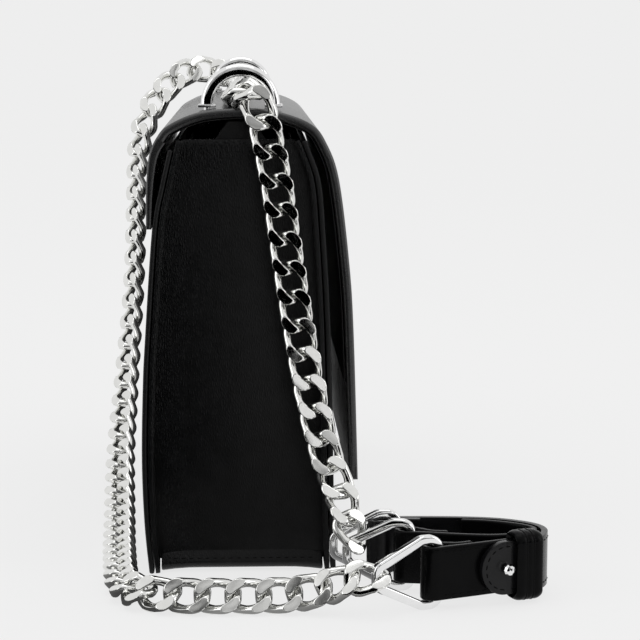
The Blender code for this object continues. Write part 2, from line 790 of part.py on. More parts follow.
def add_keeper(line):
    """Leather loop round both layers of the strap."""
    middle = (line[0] + line[1]) / 2
    along = (line[1] - line[0]).normalized()
    out = Vector((along.y, -along.x))
    centre = middle + along * KEEPER_SHIFT + out * layer / 2
    half_in = layer / 2 + STRAP_THICKNESS / 2 + TOUCH_GAP
    half_up = STRAP_WIDTH / 2 + TOUCH_GAP
    corner = KEEPER_WALL
    rims = []
    for grow in (0.0, KEEPER_WALL):
        a = half_in + grow
        b = half_up + grow
        corners = [Vector((-a, -b)), Vector((a, -b)), Vector((a, b)), Vector((-a, b))]
        radius = corner + grow - KEEPER_WALL + TOUCH_GAP
        rims.append(rounded_outline(corners, [radius] * 4, CORNER_STEPS))
    bm = bmesh.new()
    loops = []
    for end in (-1, 1):
        base = centre + along * end * KEEPER_LENGTH / 2
        for rim in rims:
            loops.append([
                bm.verts.new((base.x + out.x * p.x, base.y + out.y * p.x, strap_z + p.y))
                for p in rim
            ])
    order = (loops[0], loops[1], loops[3], loops[2], loops[0])
    for first, second in zip(order, order[1:]):
        count = len(first)
        for index in range(count):
            after = (index + 1) % count
            bm.faces.new((first[index], first[after], second[after], second[index]))
    finish_object("strap_keeper", bm, LEATHER, math.radians(35))


def add_strap_stud(point, out):
    """Ball-headed stud: its shank crosses both layers, its cap holds it behind."""
    start = -STRAP_THICKNESS / 2 - TOUCH_GAP - STUD_CAP_HEIGHT
    through = STRAP_THICKNESS / 2 + layer + TOUCH_GAP
    profile = [
        (0, start), (STUD_CAP_RADIUS, start), (STUD_CAP_RADIUS, start + STUD_CAP_HEIGHT),
        (STUD_NECK_RADIUS, start + STUD_CAP_HEIGHT), (STUD_NECK_RADIUS, through),
    ]
    neck_angle = math.asin(STUD_NECK_RADIUS / STUD_HEAD_RADIUS)
    for step in range(1, TIP_STEPS + 1):
        angle = neck_angle + (math.pi - neck_angle) * step / TIP_STEPS
        radius = STUD_HEAD_RADIUS * math.sin(angle)
        height = STUD_HEAD_RADIUS * (math.cos(neck_angle) - math.cos(angle))
        profile.append((radius if step < TIP_STEPS else 0, through + height))
    axis = Vector((out.x, out.y, 0))
    turn = axis.to_track_quat("Z", "Y").to_matrix().to_4x4()
    place = Matrix.Translation((point.x, point.y, strap_z)) @ turn
    bm = bmesh.new()
    turned(bm, profile, place, ROUND_SIDES // 2)
    finish_object("strap_stud", bm, STEEL, math.radians(50))
    bm = bmesh.new()
    depth = 2 * (through + CUT_OVERRUN)
    bmesh.ops.create_cone(
        bm, cap_ends=True, segments=ROUND_SIDES // 2, depth=depth, matrix=place,
        radius1=STUD_NECK_RADIUS + TOUCH_GAP, radius2=STUD_NECK_RADIUS + TOUCH_GAP,
    )
    return finish_object("stud_hole_cutter", bm, STEEL)


def add_strap(billet_start):
    """Billet with its stud, long strap with its tip, and the return piece."""
    straight = plan(BILLET_STRAIGHT_MM)
    route = plan(BILLET_ROUTE_MM)
    along = (route[0] - billet_start).normalized()
    tail, bar_a = fold_points(billet_start, along, 1)
    main = smooth_line([billet_start] + route + [straight[0]], OUTLINE_STEPS)
    main = main + [straight[1]]
    billet = ribbon("strap_billet", tail[:-1] + main, LEATHER)

    ahead = (straight[1] - straight[0]).normalized()
    out = Vector((ahead.y, -ahead.x))
    start_index = 2 * OUTLINE_STEPS + 1
    near = offset_line(main, layer)[start_index:]
    far_end = plan([LONG_END_MM])[0]
    bend = smooth_line([near[-1] + ahead * TOUCH_GAP] + plan(LONG_BEND_MM), OUTLINE_STEPS)
    back = (plan(LONG_BEND_MM)[-1] - far_end).normalized()
    tail_c, bar_c = fold_points(far_end, back, -1)
    tip_line = [near[0] + (near[1] - near[0]) * (step / TIP_STEPS) ** 2 for step in range(TIP_STEPS)]
    long_line = tip_line + near[1:] + bend[1:] + tail_c[::-1]
    long_strap = ribbon("strap_long", long_line, LEATHER, STRAP_WIDTH / 2)

    return_start = plan([RETURN_START_MM])[0]
    return_route = plan(RETURN_ROUTE_MM)
    back = (return_route[0] - return_start).normalized()
    tail_b, bar_b = fold_points(return_start, back, 1)
    return_main = smooth_line([return_start] + return_route, OUTLINE_STEPS)
    ribbon("strap_return", tail_b[:-1] + return_main, LEATHER)

    add_keeper(straight)
    stud_point = straight[0] - ahead * STUD_SETBACK
    cutter = add_strap_stud(stud_point, out)
    cut_with(billet, cutter)
    cut_with(long_strap, cutter)
    return bar_a, bar_b, bar_c


# Chain route from the ring at the side run's foot to the ring on the floor in front:
# places in millimetres, then the way that the chain's flat face looks
SIDE_ROUTE_MM = (
    ((37.4, -141.0, 35.5), (0.15, -0.97, 0.10)),
    ((32.5, -133.5, 47.0), (0.0, -1.0, 0.10)),
    ((26.8, -129.8, 70.0), (0.0, -1.0, 0.0)),
    ((21.5, -128.7, 100.0), (0.0, -1.0, 0.0)),
    ((17.2, -128.6, 128.0), (0.0, -1.0, 0.0)),
    ((13.8, -128.7, 152.0), (0.0, -1.0, 0.0)),
    ((10.6, -129.5, 168.0), (0.0, -1.0, 0.05)),
    ((8.2, -130.2, 178.4), (-0.05, -0.98, 0.15)),
    ((5.6, -129.0, 184.9), (-0.25, -0.80, 0.55)),
    ((2.4, -122.6, 187.9), (-0.58, -0.16, 0.80)),
    ((-0.8, -116.0, 186.5), (-0.66, -0.03, 0.75)),
    ((-1.2, -108.0, 186.4), (-0.67, 0.0, 0.74)),
)
TOP_ROUTE_MM = (
    ((-1.4, -97.0, 186.4), (-0.67, 0.0, 0.74)),
    ((-1.4, -70.0, 186.5), (-0.70, 0.0, 0.70)),
    ((-1.2, -35.0, 186.5), (-0.70, 0.0, 0.70)),
    ((0.0, 10.0, 186.5), (-0.70, 0.0, 0.70)),
    ((0.6, 55.0, 186.5), (-0.70, 0.0, 0.70)),
    ((-0.2, 92.0, 186.6), (-0.68, 0.0, 0.73)),
)
BACK_ROUTE_MM = (
    ((-1.0, 108.0, 186.7), (-0.66, 0.0, 0.75)),
    ((-2.6, 114.0, 186.6), (-0.66, -0.10, 0.73)),
    ((-6.4, 119.4, 188.2), (-0.62, -0.55, 0.50)),
    ((-12.5, 120.8, 190.2), (-0.25, -0.95, 0.25)),
    ((-19.0, 119.5, 192.0), (0.0, -1.0, 0.10)),
    ((-26.5, 116.8, 190.8), (0.0, -1.0, 0.0)),
    ((-34.2, 112.5, 185.6), (-0.05, -1.0, 0.0)),
    ((-41.4, 107.0, 177.0), (-0.15, -0.98, 0.0)),
    ((-46.6, 101.5, 167.0), (-0.35, -0.93, 0.0)),
    ((-49.4, 96.0, 156.0), (-0.55, -0.83, 0.0)),
    ((-50.6, 90.0, 144.0), (-0.70, -0.70, 0.0)),
    ((-50.9, 81.0, 127.0), (-0.75, -0.65, 0.05)),
    ((-51.1, 70.0, 105.0), (-0.75, -0.65, 0.10)),
    ((-51.8, 58.0, 84.0), (-0.75, -0.60, 0.25)),
    ((-52.8, 45.0, 67.0), (-0.72, -0.55, 0.40)),
    ((-53.6, 30.0, 51.5), (-0.68, -0.50, 0.52)),
    ((-54.1, 12.0, 37.8), (-0.62, -0.40, 0.66)),
    ((-54.2, -10.0, 25.6), (-0.56, -0.30, 0.76)),
    ((-53.4, -32.0, 17.0), (-0.50, -0.20, 0.84)),
    ((-52.2, -54.0, 10.8), (-0.46, -0.12, 0.88)),
    ((-51.0, -76.0, 6.8), (-0.42, -0.06, 0.90)),
    ((-49.8, -98.0, 4.8), (-0.40, 0.0, 0.92)),
)
FRONT_ROUTE_MM = (
    ((-48.4, -118.0, 4.6), (-0.40, 0.0, 0.92)),
    ((-46.9, -137.5, 4.8), (-0.45, -0.10, 0.90)),
    ((-44.9, -154.0, 5.2), (-0.45, -0.30, 0.84)),
    ((-41.2, -165.8, 5.7), (-0.30, -0.60, 0.74)),
    ((-33.6, -174.0, 6.2), (-0.10, -0.85, 0.50)),
    ((-22.0, -177.3, 6.4), (0.0, -0.94, 0.34)),
    ((-6.0, -178.2, 6.4), (0.0, -0.94, 0.34)),
    ((12.0, -178.4, 6.4), (0.0, -0.94, 0.34)),
    ((26.0, -179.4, 8.0), (0.0, -0.90, 0.44)),
)
ARM_SHARE = 0.20
ARM_LEAN = 0.34
# How far the pitch may be from an even share of the route while it is solved
PITCH_SEARCH_SHARE = 0.1
SOLVE_STEPS = 30


def ring_arm(frame):
    """A point on a ring's upper arm near the apex, and the arm's direction there."""
    low = Vector((0, RING_APEX / 2))
    high = Vector((RING_LENGTH - RING_SHOULDER, RING_HEIGHT / 2))
    place = low + (high - low) * ARM_SHARE
    point = frame @ Vector((place.x, place.y, 0))
    along = frame.to_3x3() @ Vector((high.x - low.x, high.y - low.y, 0))
    return point, along.normalized()


def link_template(pitch):
    """Sections of one curb link: a twisted loop of wire with both faces ground flat."""
    half_long = (pitch + CHAIN_WIRE - LINK_CONTACT) / 2
    half_wide = (CHAIN_WIDTH - CHAIN_WIRE) / 2

    def centre(turn):
        c = math.cos(turn)
        s = math.sin(turn)
        x = math.copysign(abs(c) ** LINK_SQUARENESS_SHARE, c)
        y = math.copysign(abs(s) ** LINK_SQUARENESS_SHARE, s)
        return Vector((half_long * x, half_wide * y, -2 * LINK_LIFT * x * y))

    limit = CHAIN_THICKNESS / 2
    sections = []
    small = math.pi / 180
    for step in range(LINK_STEPS):
        turn = 2 * math.pi * step / LINK_STEPS
        along = (centre(turn + small) - centre(turn - small)).normalized()
        side = along.cross(UP).normalized()
        over = side.cross(along)
        section = []
        for corner in range(LINK_SIDES):
            angle = 2 * math.pi * corner / LINK_SIDES
            reach = side * math.cos(angle) + over * math.sin(angle)
            point = centre(turn) + reach * CHAIN_WIRE / 2
            point.z = max(-limit, min(limit, point.z))
            section.append(point)
        sections.append(section)
    return sections


def step_along(line, index, place, reach):
    """The first place on the line that lies a given reach from a place."""
    while (line[index + 1][0] - place).length < reach:
        index += 1
        if index + 1 >= len(line):
            return line[-1][0], index - 1
    low = 0.0
    high = 1.0
    for _ in range(SOLVE_STEPS):
        middle = (low + high) / 2
        point = line[index][0].lerp(line[index + 1][0], middle)
        if (point - place).length < reach:
            low = middle
        else:
            high = middle
    return line[index][0].lerp(line[index + 1][0], high), index


def chain_joints(line, pitch, count, breaks):
    """Places where neighbouring links meet, as a pair of ends for each link."""
    joint = line[0][0]
    index = 0
    pairs = []
    for number in range(count):
        after, index = step_along(line, index, joint, pitch)
        pairs.append((joint, after, index))
        joint = after
        if number + 1 in breaks:
            joint = after - (after - pairs[-1][0]).normalized() * RUN_GAP
    return pairs


def travelled(line, pair):
    """Length of the line up to the far end of a link."""
    _, after, index = pair
    done = sum((line[at + 1][0] - line[at][0]).length for at in range(index))
    return done + (after - line[index][0]).length


def chain_places(line, count, breaks):
    """Pitch and matrices of the links, spread evenly so that the last one seats on its ring."""
    whole = sum((low[0] - high[0]).length for low, high in zip(line, line[1:]))
    shortest = (1 - PITCH_SEARCH_SHARE) * whole / count
    longest = (1 + PITCH_SEARCH_SHARE) * whole / count
    for _ in range(SOLVE_STEPS):
        pitch = (shortest + longest) / 2
        pairs = chain_joints(line, pitch, count, breaks)
        if travelled(line, pairs[-1]) < whole - TOUCH_GAP:
            shortest = pitch
        else:
            longest = pitch
    matrices = []
    for start, after, index in chain_joints(line, shortest, count, breaks):
        along = (after - start).normalized()
        middle = (after + start) / 2
        nearest = min(range(max(index - 3 * ROUTE_STEPS, 0), index + 1),
                      key=lambda at: (line[at][0] - middle).length)
        face = line[nearest][1]
        face = (face - along * face.dot(along)).normalized()
        across = face.cross(along)
        turn = Matrix((along, across, face)).transposed().to_4x4()
        matrices.append(Matrix.Translation(middle) @ turn)
    return shortest, matrices


def hooked_link(hook, arm, away, toward):
    """Ends and facing of a link that hangs on a ring's wire at the hook place."""
    away = (away - arm * away.dot(arm)).normalized()
    side = arm.cross(away)
    if side.dot(toward) < 0:
        side = -side
    inside = CHAIN_PITCH / 2 - RING_WIRE / 2 - HOOK_CLEARANCE
    near_end = hook + away * (inside - CHAIN_PITCH / 2)
    return near_end, near_end + away * CHAIN_PITCH, (arm + side).normalized()


def chain_line(start_link, end_link):
    """Places and facings along the whole chain, from one ring to the other."""
    rows = [(start_link[0], start_link[2]), (start_link[1], start_link[2])]
    for table in (SIDE_ROUTE_MM, TOP_ROUTE_MM, BACK_ROUTE_MM, FRONT_ROUTE_MM):
        rows += [(Vector(place) * route_scale, Vector(face)) for place, face in table]
    rows += [(end_link[1], end_link[2]), (end_link[0], end_link[2])]
    places = smooth_line([row[0] for row in rows], ROUTE_STEPS)
    faces = smooth_line([row[1] for row in rows], ROUTE_STEPS)
    return list(zip(places, faces))


def run_ends(line, count):
    """Numbers of the links after which the side, top and back runs end."""
    spans = [(low[0] - high[0]).length for low, high in zip(line, line[1:])]
    row = 1
    ends = []
    for table in (SIDE_ROUTE_MM, TOP_ROUTE_MM, BACK_ROUTE_MM):
        row += len(table)
        middle = row * ROUTE_STEPS + ROUTE_STEPS // 2
        ends.append(round(count * sum(spans[:middle]) / sum(spans)))
    return ends


def add_chain_run(name, matrices, pitch):
    """Links of one run, each joined to the next at the wire's contact."""
    template = link_template(pitch)
    halves = []
    for parity in (0, 1):
        bm = bmesh.new()
        for matrix in matrices[parity::2]:
            sections = [[matrix @ point for point in section] for section in template]
            loft(bm, sections, closed=True)
        bmesh.ops.triangulate(bm, faces=bm.faces)
        label = name if parity == 0 else name + "_others"
        halves.append(finish_object(label, bm, STEEL, math.radians(40)))
    join = halves[0].modifiers.new("others", "BOOLEAN")
    join.operation = "UNION"
    join.object = halves[1]
    halves[1].hide_render = True
    halves[1].display_type = "WIRE"


def build():
    add_back_panel()
    add_front_panel()
    add_gusset("gusset_near", -1)
    add_gusset("gusset_far", 1)
    left, right = add_base()
    add_lining(left, right)
    add_tab("gusset_tab_near", -1)
    add_tab("gusset_tab_far", 1)
    add_flap_back()
    inner = add_flap()
    add_snap(inner)
    for name, y in hoop_places():
        foot_z = add_hoop("hoop_" + name, y)
        for label, side in (("back", -1), ("front", 1)):
            add_screw("hoop_screw_" + name + "_" + label, side * HOOP_HALF_SPAN, y, foot_z)

    bar_a, bar_b, bar_c = add_strap(plan([BILLET_START_MM])[0])
    frame_a = add_ring("ring_a", bar_a, Vector((math.cos(RING_TURN["ring_a"]), math.sin(RING_TURN["ring_a"]))))
    frame_b = add_ring("ring_b", bar_b, Vector((math.cos(RING_TURN["ring_b"]), math.sin(RING_TURN["ring_b"]))))
    add_ring("ring_c", bar_c, Vector((math.cos(RING_TURN["ring_c"]), math.sin(RING_TURN["ring_c"]))))

    hook, arm = ring_arm(frame_b)
    start_link = hooked_link(hook, arm, Vector((-ARM_LEAN, 0, 1)), Vector((0, -1, 0)))
    apex = frame_a @ Vector((0, 0, 0))
    end_link = hooked_link(apex, UP, Vector((-1, 0, 0)), Vector((0, -1, 0)))
    line = chain_line(start_link, end_link)
    whole = sum((low[0] - high[0]).length for low, high in zip(line, line[1:]))
    count = round(whole / CHAIN_PITCH)
    breaks = run_ends(line, count)
    print("links", count, "runs end at", breaks)
    pitch, matrices = chain_places(line, count, breaks)
    runs = ("chain_side_run", "chain_top_run", "chain_back_run", "chain_front_run")
    edges = [0] + breaks + [count]
    for name, start, end in zip(runs, edges, edges[1:]):
        add_chain_run(name, matrices[start:end], pitch)


build()
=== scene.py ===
import math

import bmesh
import bpy
from mathutils import Matrix, Vector


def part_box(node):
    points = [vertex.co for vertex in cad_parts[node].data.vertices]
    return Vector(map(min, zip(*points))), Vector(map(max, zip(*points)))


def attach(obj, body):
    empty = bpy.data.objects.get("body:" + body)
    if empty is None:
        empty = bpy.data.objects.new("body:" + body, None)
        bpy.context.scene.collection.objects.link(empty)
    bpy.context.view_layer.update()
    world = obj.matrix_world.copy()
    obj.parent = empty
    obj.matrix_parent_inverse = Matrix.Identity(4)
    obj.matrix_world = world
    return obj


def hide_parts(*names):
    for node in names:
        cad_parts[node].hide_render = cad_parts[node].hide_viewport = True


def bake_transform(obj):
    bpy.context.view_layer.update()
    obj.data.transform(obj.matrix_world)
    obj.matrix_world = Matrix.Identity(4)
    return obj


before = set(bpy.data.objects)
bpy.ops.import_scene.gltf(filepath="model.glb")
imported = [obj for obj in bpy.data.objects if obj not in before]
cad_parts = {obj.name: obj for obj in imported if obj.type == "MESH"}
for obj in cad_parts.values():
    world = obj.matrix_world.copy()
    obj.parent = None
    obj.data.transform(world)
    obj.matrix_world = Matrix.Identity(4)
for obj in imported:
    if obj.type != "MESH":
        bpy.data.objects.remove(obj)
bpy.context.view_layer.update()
scene = bpy.context.scene
scene.view_settings.view_transform = "Standard"

# lengths are in metres, and gap is the play between two pieces
bag = {"length": 0.250, "depth": 0.073, "height": 0.181, "gap": 0.0003, "flapStand": 0.0094}
halfLength = bag["length"] / 2
up = Vector((0, 0, 1))


# lines

def smoothLine(points, steps):
    # a Catmull-Rom curve through the points
    line = []
    last = len(points) - 1
    for index in range(last):
        before, start = points[max(index - 1, 0)], points[index]
        end, after = points[index + 1], points[min(index + 2, last)]
        for step in range(steps):
            t = step / steps
            line.append(0.5 * (2 * start + (end - before) * t
                               + (2 * before - 5 * start + 4 * end - after) * t ** 2
                               + (3 * start - before - 3 * end + after) * t ** 3))
    line.append(points[-1].copy())
    return line


def fromShares(shares):
    # shares of depth and height, and of the flap's stand-off where there is a third
    return [Vector((x * bag["depth"] + sum(out) * bag["flapStand"], z * bag["height"]))
            for x, z, *out in shares]


def offsetLine(line, amount):
    # the plane line moved to its right
    moved = []
    last = len(line) - 1
    for index, point in enumerate(line):
        along = (line[min(index + 1, last)] - line[max(index - 1, 0)]).normalized()
        moved.append(point - Vector((-along.y, along.x)) * amount)
    return moved


def readLine(line, value, axis):
    # the line's other coordinate, where the one on this axis reaches the value
    for first, second in zip(line, line[1:]):
        if value <= second[axis] or second is line[-1]:
            rise = second[1 - axis] - first[1 - axis]
            return first[1 - axis] + rise * (value - first[axis]) / (second[axis] - first[axis])


def lengthsAlong(line):
    lengths = [0.0]
    for first, second in zip(line, line[1:]):
        lengths.append(lengths[-1] + (second - first).length)
    return lengths


def placed(origin, along, side, out):
    # puts a shape's X, Y and Z along three directions at a place
    return Matrix.Translation(origin) @ Matrix((along, side, out)).transposed().to_4x4()


# meshes

def toObject(name, bm, material, angle=40):
    # shading is smooth up to the angle; at 0 the faces stay flat
    mesh = bpy.data.meshes.new(name)
    bm.to_mesh(mesh)
    bm.free()
    if angle:
        mesh.shade_smooth()
        mesh.set_sharp_from_angle(angle=math.radians(angle))
    piece = bpy.data.objects.new(name, mesh)
    scene.collection.objects.link(piece)
    mesh.materials.append(material)
    return piece


def bake(piece):
    # modifiers become mesh, so nothing on the piece stays live
    graph = bpy.context.evaluated_depsgraph_get()
    mesh = bpy.data.meshes.new_from_object(piece.evaluated_get(graph))
    piece.modifiers.clear()
    piece.data = mesh
    return piece


def roundEdges(piece, width, segments=3, angle=40):
    bevel = piece.modifiers.new("round", "BEVEL")
    bevel.width = width
    bevel.segments = segments
    bevel.limit_method = "ANGLE"
    bevel.angle_limit = math.radians(angle)
    return bevel


def roundChosen(piece, width, segments, share, angle):
    # each edge is rounded by the share of the width that its two ends are given
    roundEdges(piece, width, segments).limit_method = "WEIGHT"
    weights = piece.data.attributes.new("bevel_weight_edge", "FLOAT", "EDGE")
    for edge in piece.data.edges:
        first, second = (piece.data.vertices[n].co for n in edge.vertices)
        weights.data[edge.index].value = share(first, second)
    piece.data.update()
    bake(piece)
    piece.data.shade_smooth()
    piece.data.set_sharp_from_angle(angle=math.radians(angle))
    return piece


def shell(name, bm, material, thickness, width=0.0, offset=-1.0, angle=40):
    # a sheet gets its wall, and rounded edges where a width is given
    piece = toObject(name, bm, material, angle)
    wall = piece.modifiers.new("wall", "SOLIDIFY")
    wall.thickness = thickness
    wall.offset = offset
    wall.use_even_offset = True
    if width:
        roundEdges(piece, width, angle=angle)
    return bake(piece)


def drawnSheet(points, step, rows, closed=False):
    # a line of points drawn out row by row
    bm = bmesh.new()
    verts = [bm.verts.new(point) for point in points]
    pairs = list(zip(verts, verts[1:])) + [(verts[-1], verts[0])] * closed
    edges = [bm.edges.new(pair) for pair in pairs]
    for row in range(rows):
        grown = bmesh.ops.extrude_edge_only(bm, edges=edges)["geom"]
        moved = [item for item in grown if isinstance(item, bmesh.types.BMVert)]
        edges = [item for item in grown if isinstance(item, bmesh.types.BMEdge)
                 and all(v in moved for v in item.verts)]
        bmesh.ops.translate(bm, verts=moved, vec=step)
    bmesh.ops.recalc_face_normals(bm, faces=bm.faces)
    return bm


def drawnBlock(points, step):
    # a closed outline drawn out into a solid
    bm = bmesh.new()
    face = bm.faces.new([bm.verts.new(point) for point in points])
    grown = bmesh.ops.extrude_face_region(bm, geom=[face])["geom"]
    moved = [item for item in grown if isinstance(item, bmesh.types.BMVert)]
    bmesh.ops.translate(bm, verts=moved, vec=step)
    bmesh.ops.recalc_face_normals(bm, faces=bm.faces)
    return bm


def flatCard(width, depth):
    bm = bmesh.new()
    bmesh.ops.create_grid(bm, x_segments=1, y_segments=1, size=0.5)
    bmesh.ops.scale(bm, verts=bm.verts, vec=(width, depth, 1))
    return bm


def closedSpline(curve, places):
    spline = curve.splines.new("POLY")
    spline.points.add(len(places) - 1)
    spline.use_cyclic_u = True
    for point, place in zip(spline.points, places):
        point.co = (*place, 1)
    return spline


def curveToMesh(curve):
    holder = bpy.data.objects.new(curve.name, curve)
    scene.collection.objects.link(holder)
    graph = bpy.context.evaluated_depsgraph_get()
    mesh = bpy.data.meshes.new_from_object(holder.evaluated_get(graph))
    bpy.data.objects.remove(holder, do_unlink=True)
    bm = bmesh.new()
    bm.from_mesh(mesh)
    bpy.data.meshes.remove(mesh)
    bmesh.ops.remove_doubles(bm, verts=bm.verts, dist=1e-6)
    return bm


def faceOut(bm, outward):
    # turn the whole sheet so that its faces look the given way
    total = sum(face.normal.dot(outward(face.calc_center_median())) * face.calc_area()
                for face in bm.faces)
    if total < 0:
        bmesh.ops.reverse_faces(bm, faces=bm.faces)


stitch = {"pitch": 0.0031, "size": (0.0023, 0.0006, 0.0005)}


def stitchRow(bm, places, outs):
    # thread: stretched beads half sunk along a line of places
    travelled, due = 0.0, stitch["pitch"] / 2
    for (first, second), out in zip(zip(places, places[1:]), outs):
        span = (second - first).length
        while span > 0 and due <= travelled + span:
            along = (second - first) / span
            spot = first + along * (due - travelled)
            made = bmesh.ops.create_icosphere(bm, subdivisions=1, radius=0.5)["verts"]
            bmesh.ops.scale(bm, verts=made, vec=stitch["size"])
            bmesh.ops.transform(bm, verts=made, matrix=placed(spot, along, out.cross(along), out))
            due += stitch["pitch"]
        travelled += span


def partOfBag(piece, *nodes):
    # leather and thread that move with the bag's own body
    if nodes:
        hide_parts(*nodes)
    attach(piece, "bag")


# nodes for materials

def newGroup(name, inputs, outputs):
    group = bpy.data.node_groups.new(name, "ShaderNodeTree")
    for label, value in inputs.items():
        socket = group.interface.new_socket(label, in_out="INPUT", socket_type="NodeSocketFloat")
        socket.default_value = value
    for label in outputs:
        group.interface.new_socket(label, in_out="OUTPUT", socket_type="NodeSocketFloat")
    return group, group.nodes.new("NodeGroupInput"), group.nodes.new("NodeGroupOutput")


def mathNode(tree, operation, first, second, clamp=False):
    node = tree.nodes.new("ShaderNodeMath")
    node.operation = operation
    node.use_clamp = clamp
    for socket, value in zip(node.inputs, (first, second)):
        if isinstance(value, (int, float)):
            socket.default_value = value
        else:
            tree.links.new(value, socket)
    return node.outputs[0]


def noiseNode(tree, coords, scale, detail, rough=0.55):
    node = tree.nodes.new("ShaderNodeTexNoise")
    tree.links.new(coords, node.inputs["Vector"])
    node.inputs["Scale"].default_value = scale
    node.inputs["Detail"].default_value = detail
    node.inputs["Roughness"].default_value = rough
    return node.outputs[0]


def objectCoords(tree):
    return tree.nodes.new("ShaderNodeTexCoord").outputs["Object"]


def splitCoords(tree, coords):
    parts = tree.nodes.new("ShaderNodeSeparateXYZ")
    tree.links.new(coords, parts.inputs[0])
    return parts.outputs


def mapRange(tree, value, low, high, toLow, toHigh):
    node = tree.nodes.new("ShaderNodeMapRange")
    tree.links.new(value, node.inputs["Value"])
    for label, number in (("From Min", low), ("From Max", high), ("To Min", toLow), ("To Max", toHigh)):
        node.inputs[label].default_value = number
    return node.outputs["Result"]


def twoTones(tree, value, places, *colours):
    node = tree.nodes.new("ShaderNodeValToRGB")
    tree.links.new(value, node.inputs["Fac"])
    for stop, place, colour in zip(node.color_ramp.elements, places, colours):
        stop.position = place
        stop.color = (*colour, 1)
    return node.outputs["Color"]


def addRelief(tree, shader, height, strength, distance=0.0002):
    relief = tree.nodes.new("ShaderNodeBump")
    relief.inputs["Strength"].default_value = strength
    relief.inputs["Distance"].default_value = distance
    tree.links.new(height, relief.inputs["Height"])
    tree.links.new(relief.outputs["Normal"], shader.inputs["Normal"])


def seenDirectly(tree):
    # 1 where the camera, a mirroring face or clear glass looks
    path = tree.nodes.new("ShaderNodeLightPath")
    seen = mathNode(tree, "ADD", path.outputs["Is Camera Ray"], path.outputs["Is Glossy Ray"], True)
    return mathNode(tree, "ADD", seen, path.outputs["Is Transmission Ray"], True)


def newMaterial(name):
    material = bpy.data.materials.new(name)
    material.use_nodes = True
    tree = material.node_tree
    return material, tree, tree.nodes["Principled BSDF"]


# leather grain: pebbles, fine creases and soft unevenness, as noise scales and depths
grain = {"pebbles": 1150, "pebbleDepth": 2.2, "creases": 2600, "creaseDepth": 0.7, "waves": 55,
         "mottle": 140, "tones": (0.3, 0.7), "heights": (0.2, 1.6)}


def buildGrain():
    group, source, sink = newGroup("leatherGrain", {"Scale": 1.0, "Unevenness": 0.5, "Stretch": 1.0},
                                   ("Height", "Mottle"))
    coords = objectCoords(group)
    parts = splitCoords(group, coords)
    drawn = group.nodes.new("ShaderNodeCombineXYZ")
    tall = mathNode(group, "MULTIPLY", parts["Z"], source.outputs["Stretch"])
    for axis, value in (("X", parts["X"]), ("Y", parts["Y"]), ("Z", tall)):
        group.links.new(value, drawn.inputs[axis])
    scaled = group.nodes.new("ShaderNodeVectorMath")
    scaled.operation = "SCALE"
    group.links.new(drawn.outputs[0], scaled.inputs[0])
    group.links.new(source.outputs["Scale"], scaled.inputs["Scale"])
    pebble = group.nodes.new("ShaderNodeTexVoronoi")
    pebble.feature = "DISTANCE_TO_EDGE"
    pebble.inputs["Scale"].default_value = grain["pebbles"]
    group.links.new(scaled.outputs[0], pebble.inputs["Vector"])
    height = mathNode(group, "MULTIPLY", pebble.outputs["Distance"], grain["pebbleDepth"], True)
    fine = noiseNode(group, scaled.outputs[0], grain["creases"], 3.0)
    height = mathNode(group, "ADD", height, mathNode(group, "MULTIPLY", fine, grain["creaseDepth"]))
    broad = noiseNode(group, coords, grain["waves"], 3.0)
    waves = mathNode(group, "MULTIPLY", broad, source.outputs["Unevenness"])
    group.links.new(mathNode(group, "ADD", height, waves), sink.inputs["Height"])
    group.links.new(noiseNode(group, coords, grain["mottle"], 5.0), sink.inputs["Mottle"])
    return group


# handling of polished metal: smears and fine scratches, as noise scales, and what they change
handling = {"smears": 220, "scratches": 1800, "tint": 0.93, "tones": (0.35, 0.65), "roughs": (0.3, 0.7),
            "relief": 0.05, "reliefDepth": 0.00005}


def buildHandling():
    group, source, sink = newGroup("metalHandling", {"Amount": 1.0}, ("Smear", "Height"))
    coords = objectCoords(group)
    for label, scale, detail in (("Smear", handling["smears"], 4.0), ("Height", handling["scratches"], 2.0)):
        marks = noiseNode(group, coords, scale, detail)
        group.links.new(mathNode(group, "MULTIPLY", marks, source.outputs["Amount"]), sink.inputs[label])
    return group


grainGroup = buildGrain()
handlingGroup = buildHandling()


def leatherMaterial(name, dark, light, rough, bump, shine, scale=1.0, stretch=1.0, paintedShade=None):
    material, tree, shader = newMaterial(name)
    surface = tree.nodes.new("ShaderNodeGroup")
    surface.node_tree = grainGroup
    surface.inputs["Scale"].default_value = scale
    surface.inputs["Stretch"].default_value = stretch
    colour = twoTones(tree, surface.outputs["Mottle"], grain["tones"], dark, light)
    tree.links.new(colour, shader.inputs["Base Color"])
    roughness = mapRange(tree, surface.outputs["Height"], *grain["heights"], rough[1], rough[0])
    if paintedShade:
        # painted shade: smoother toward one side and the top, so these parts mirror the dark cards and read
        # darker, as where the back panel's edge and the flap shade the gusset
        parts = splitCoords(tree, objectCoords(tree))
        across, upward = (mapRange(tree, parts[axis], *paintedShade[axis], paintedShade["least"], 1.0) for axis in "XZ")
        roughness = mathNode(tree, "MULTIPLY", roughness, mathNode(tree, "MULTIPLY", across, upward))
    tree.links.new(roughness, shader.inputs["Roughness"])
    addRelief(tree, shader, surface.outputs["Height"], bump)
    shader.inputs["Specular IOR Level"].default_value = shine
    return material


def metalMaterial(name, colour, rough, amount=1.0):
    material, tree, shader = newMaterial(name)
    wear = tree.nodes.new("ShaderNodeGroup")
    wear.node_tree = handlingGroup
    wear.inputs["Amount"].default_value = amount
    shader.inputs["Metallic"].default_value = 1.0
    smear = wear.outputs["Smear"]
    tint = tuple(c * handling["tint"] for c in colour)
    tree.links.new(twoTones(tree, smear, handling["tones"], tint, colour), shader.inputs["Base Color"])
    tree.links.new(mapRange(tree, smear, *handling["roughs"], *rough), shader.inputs["Roughness"])
    addRelief(tree, shader, wear.outputs["Height"], handling["relief"], handling["reliefDepth"])
    return material


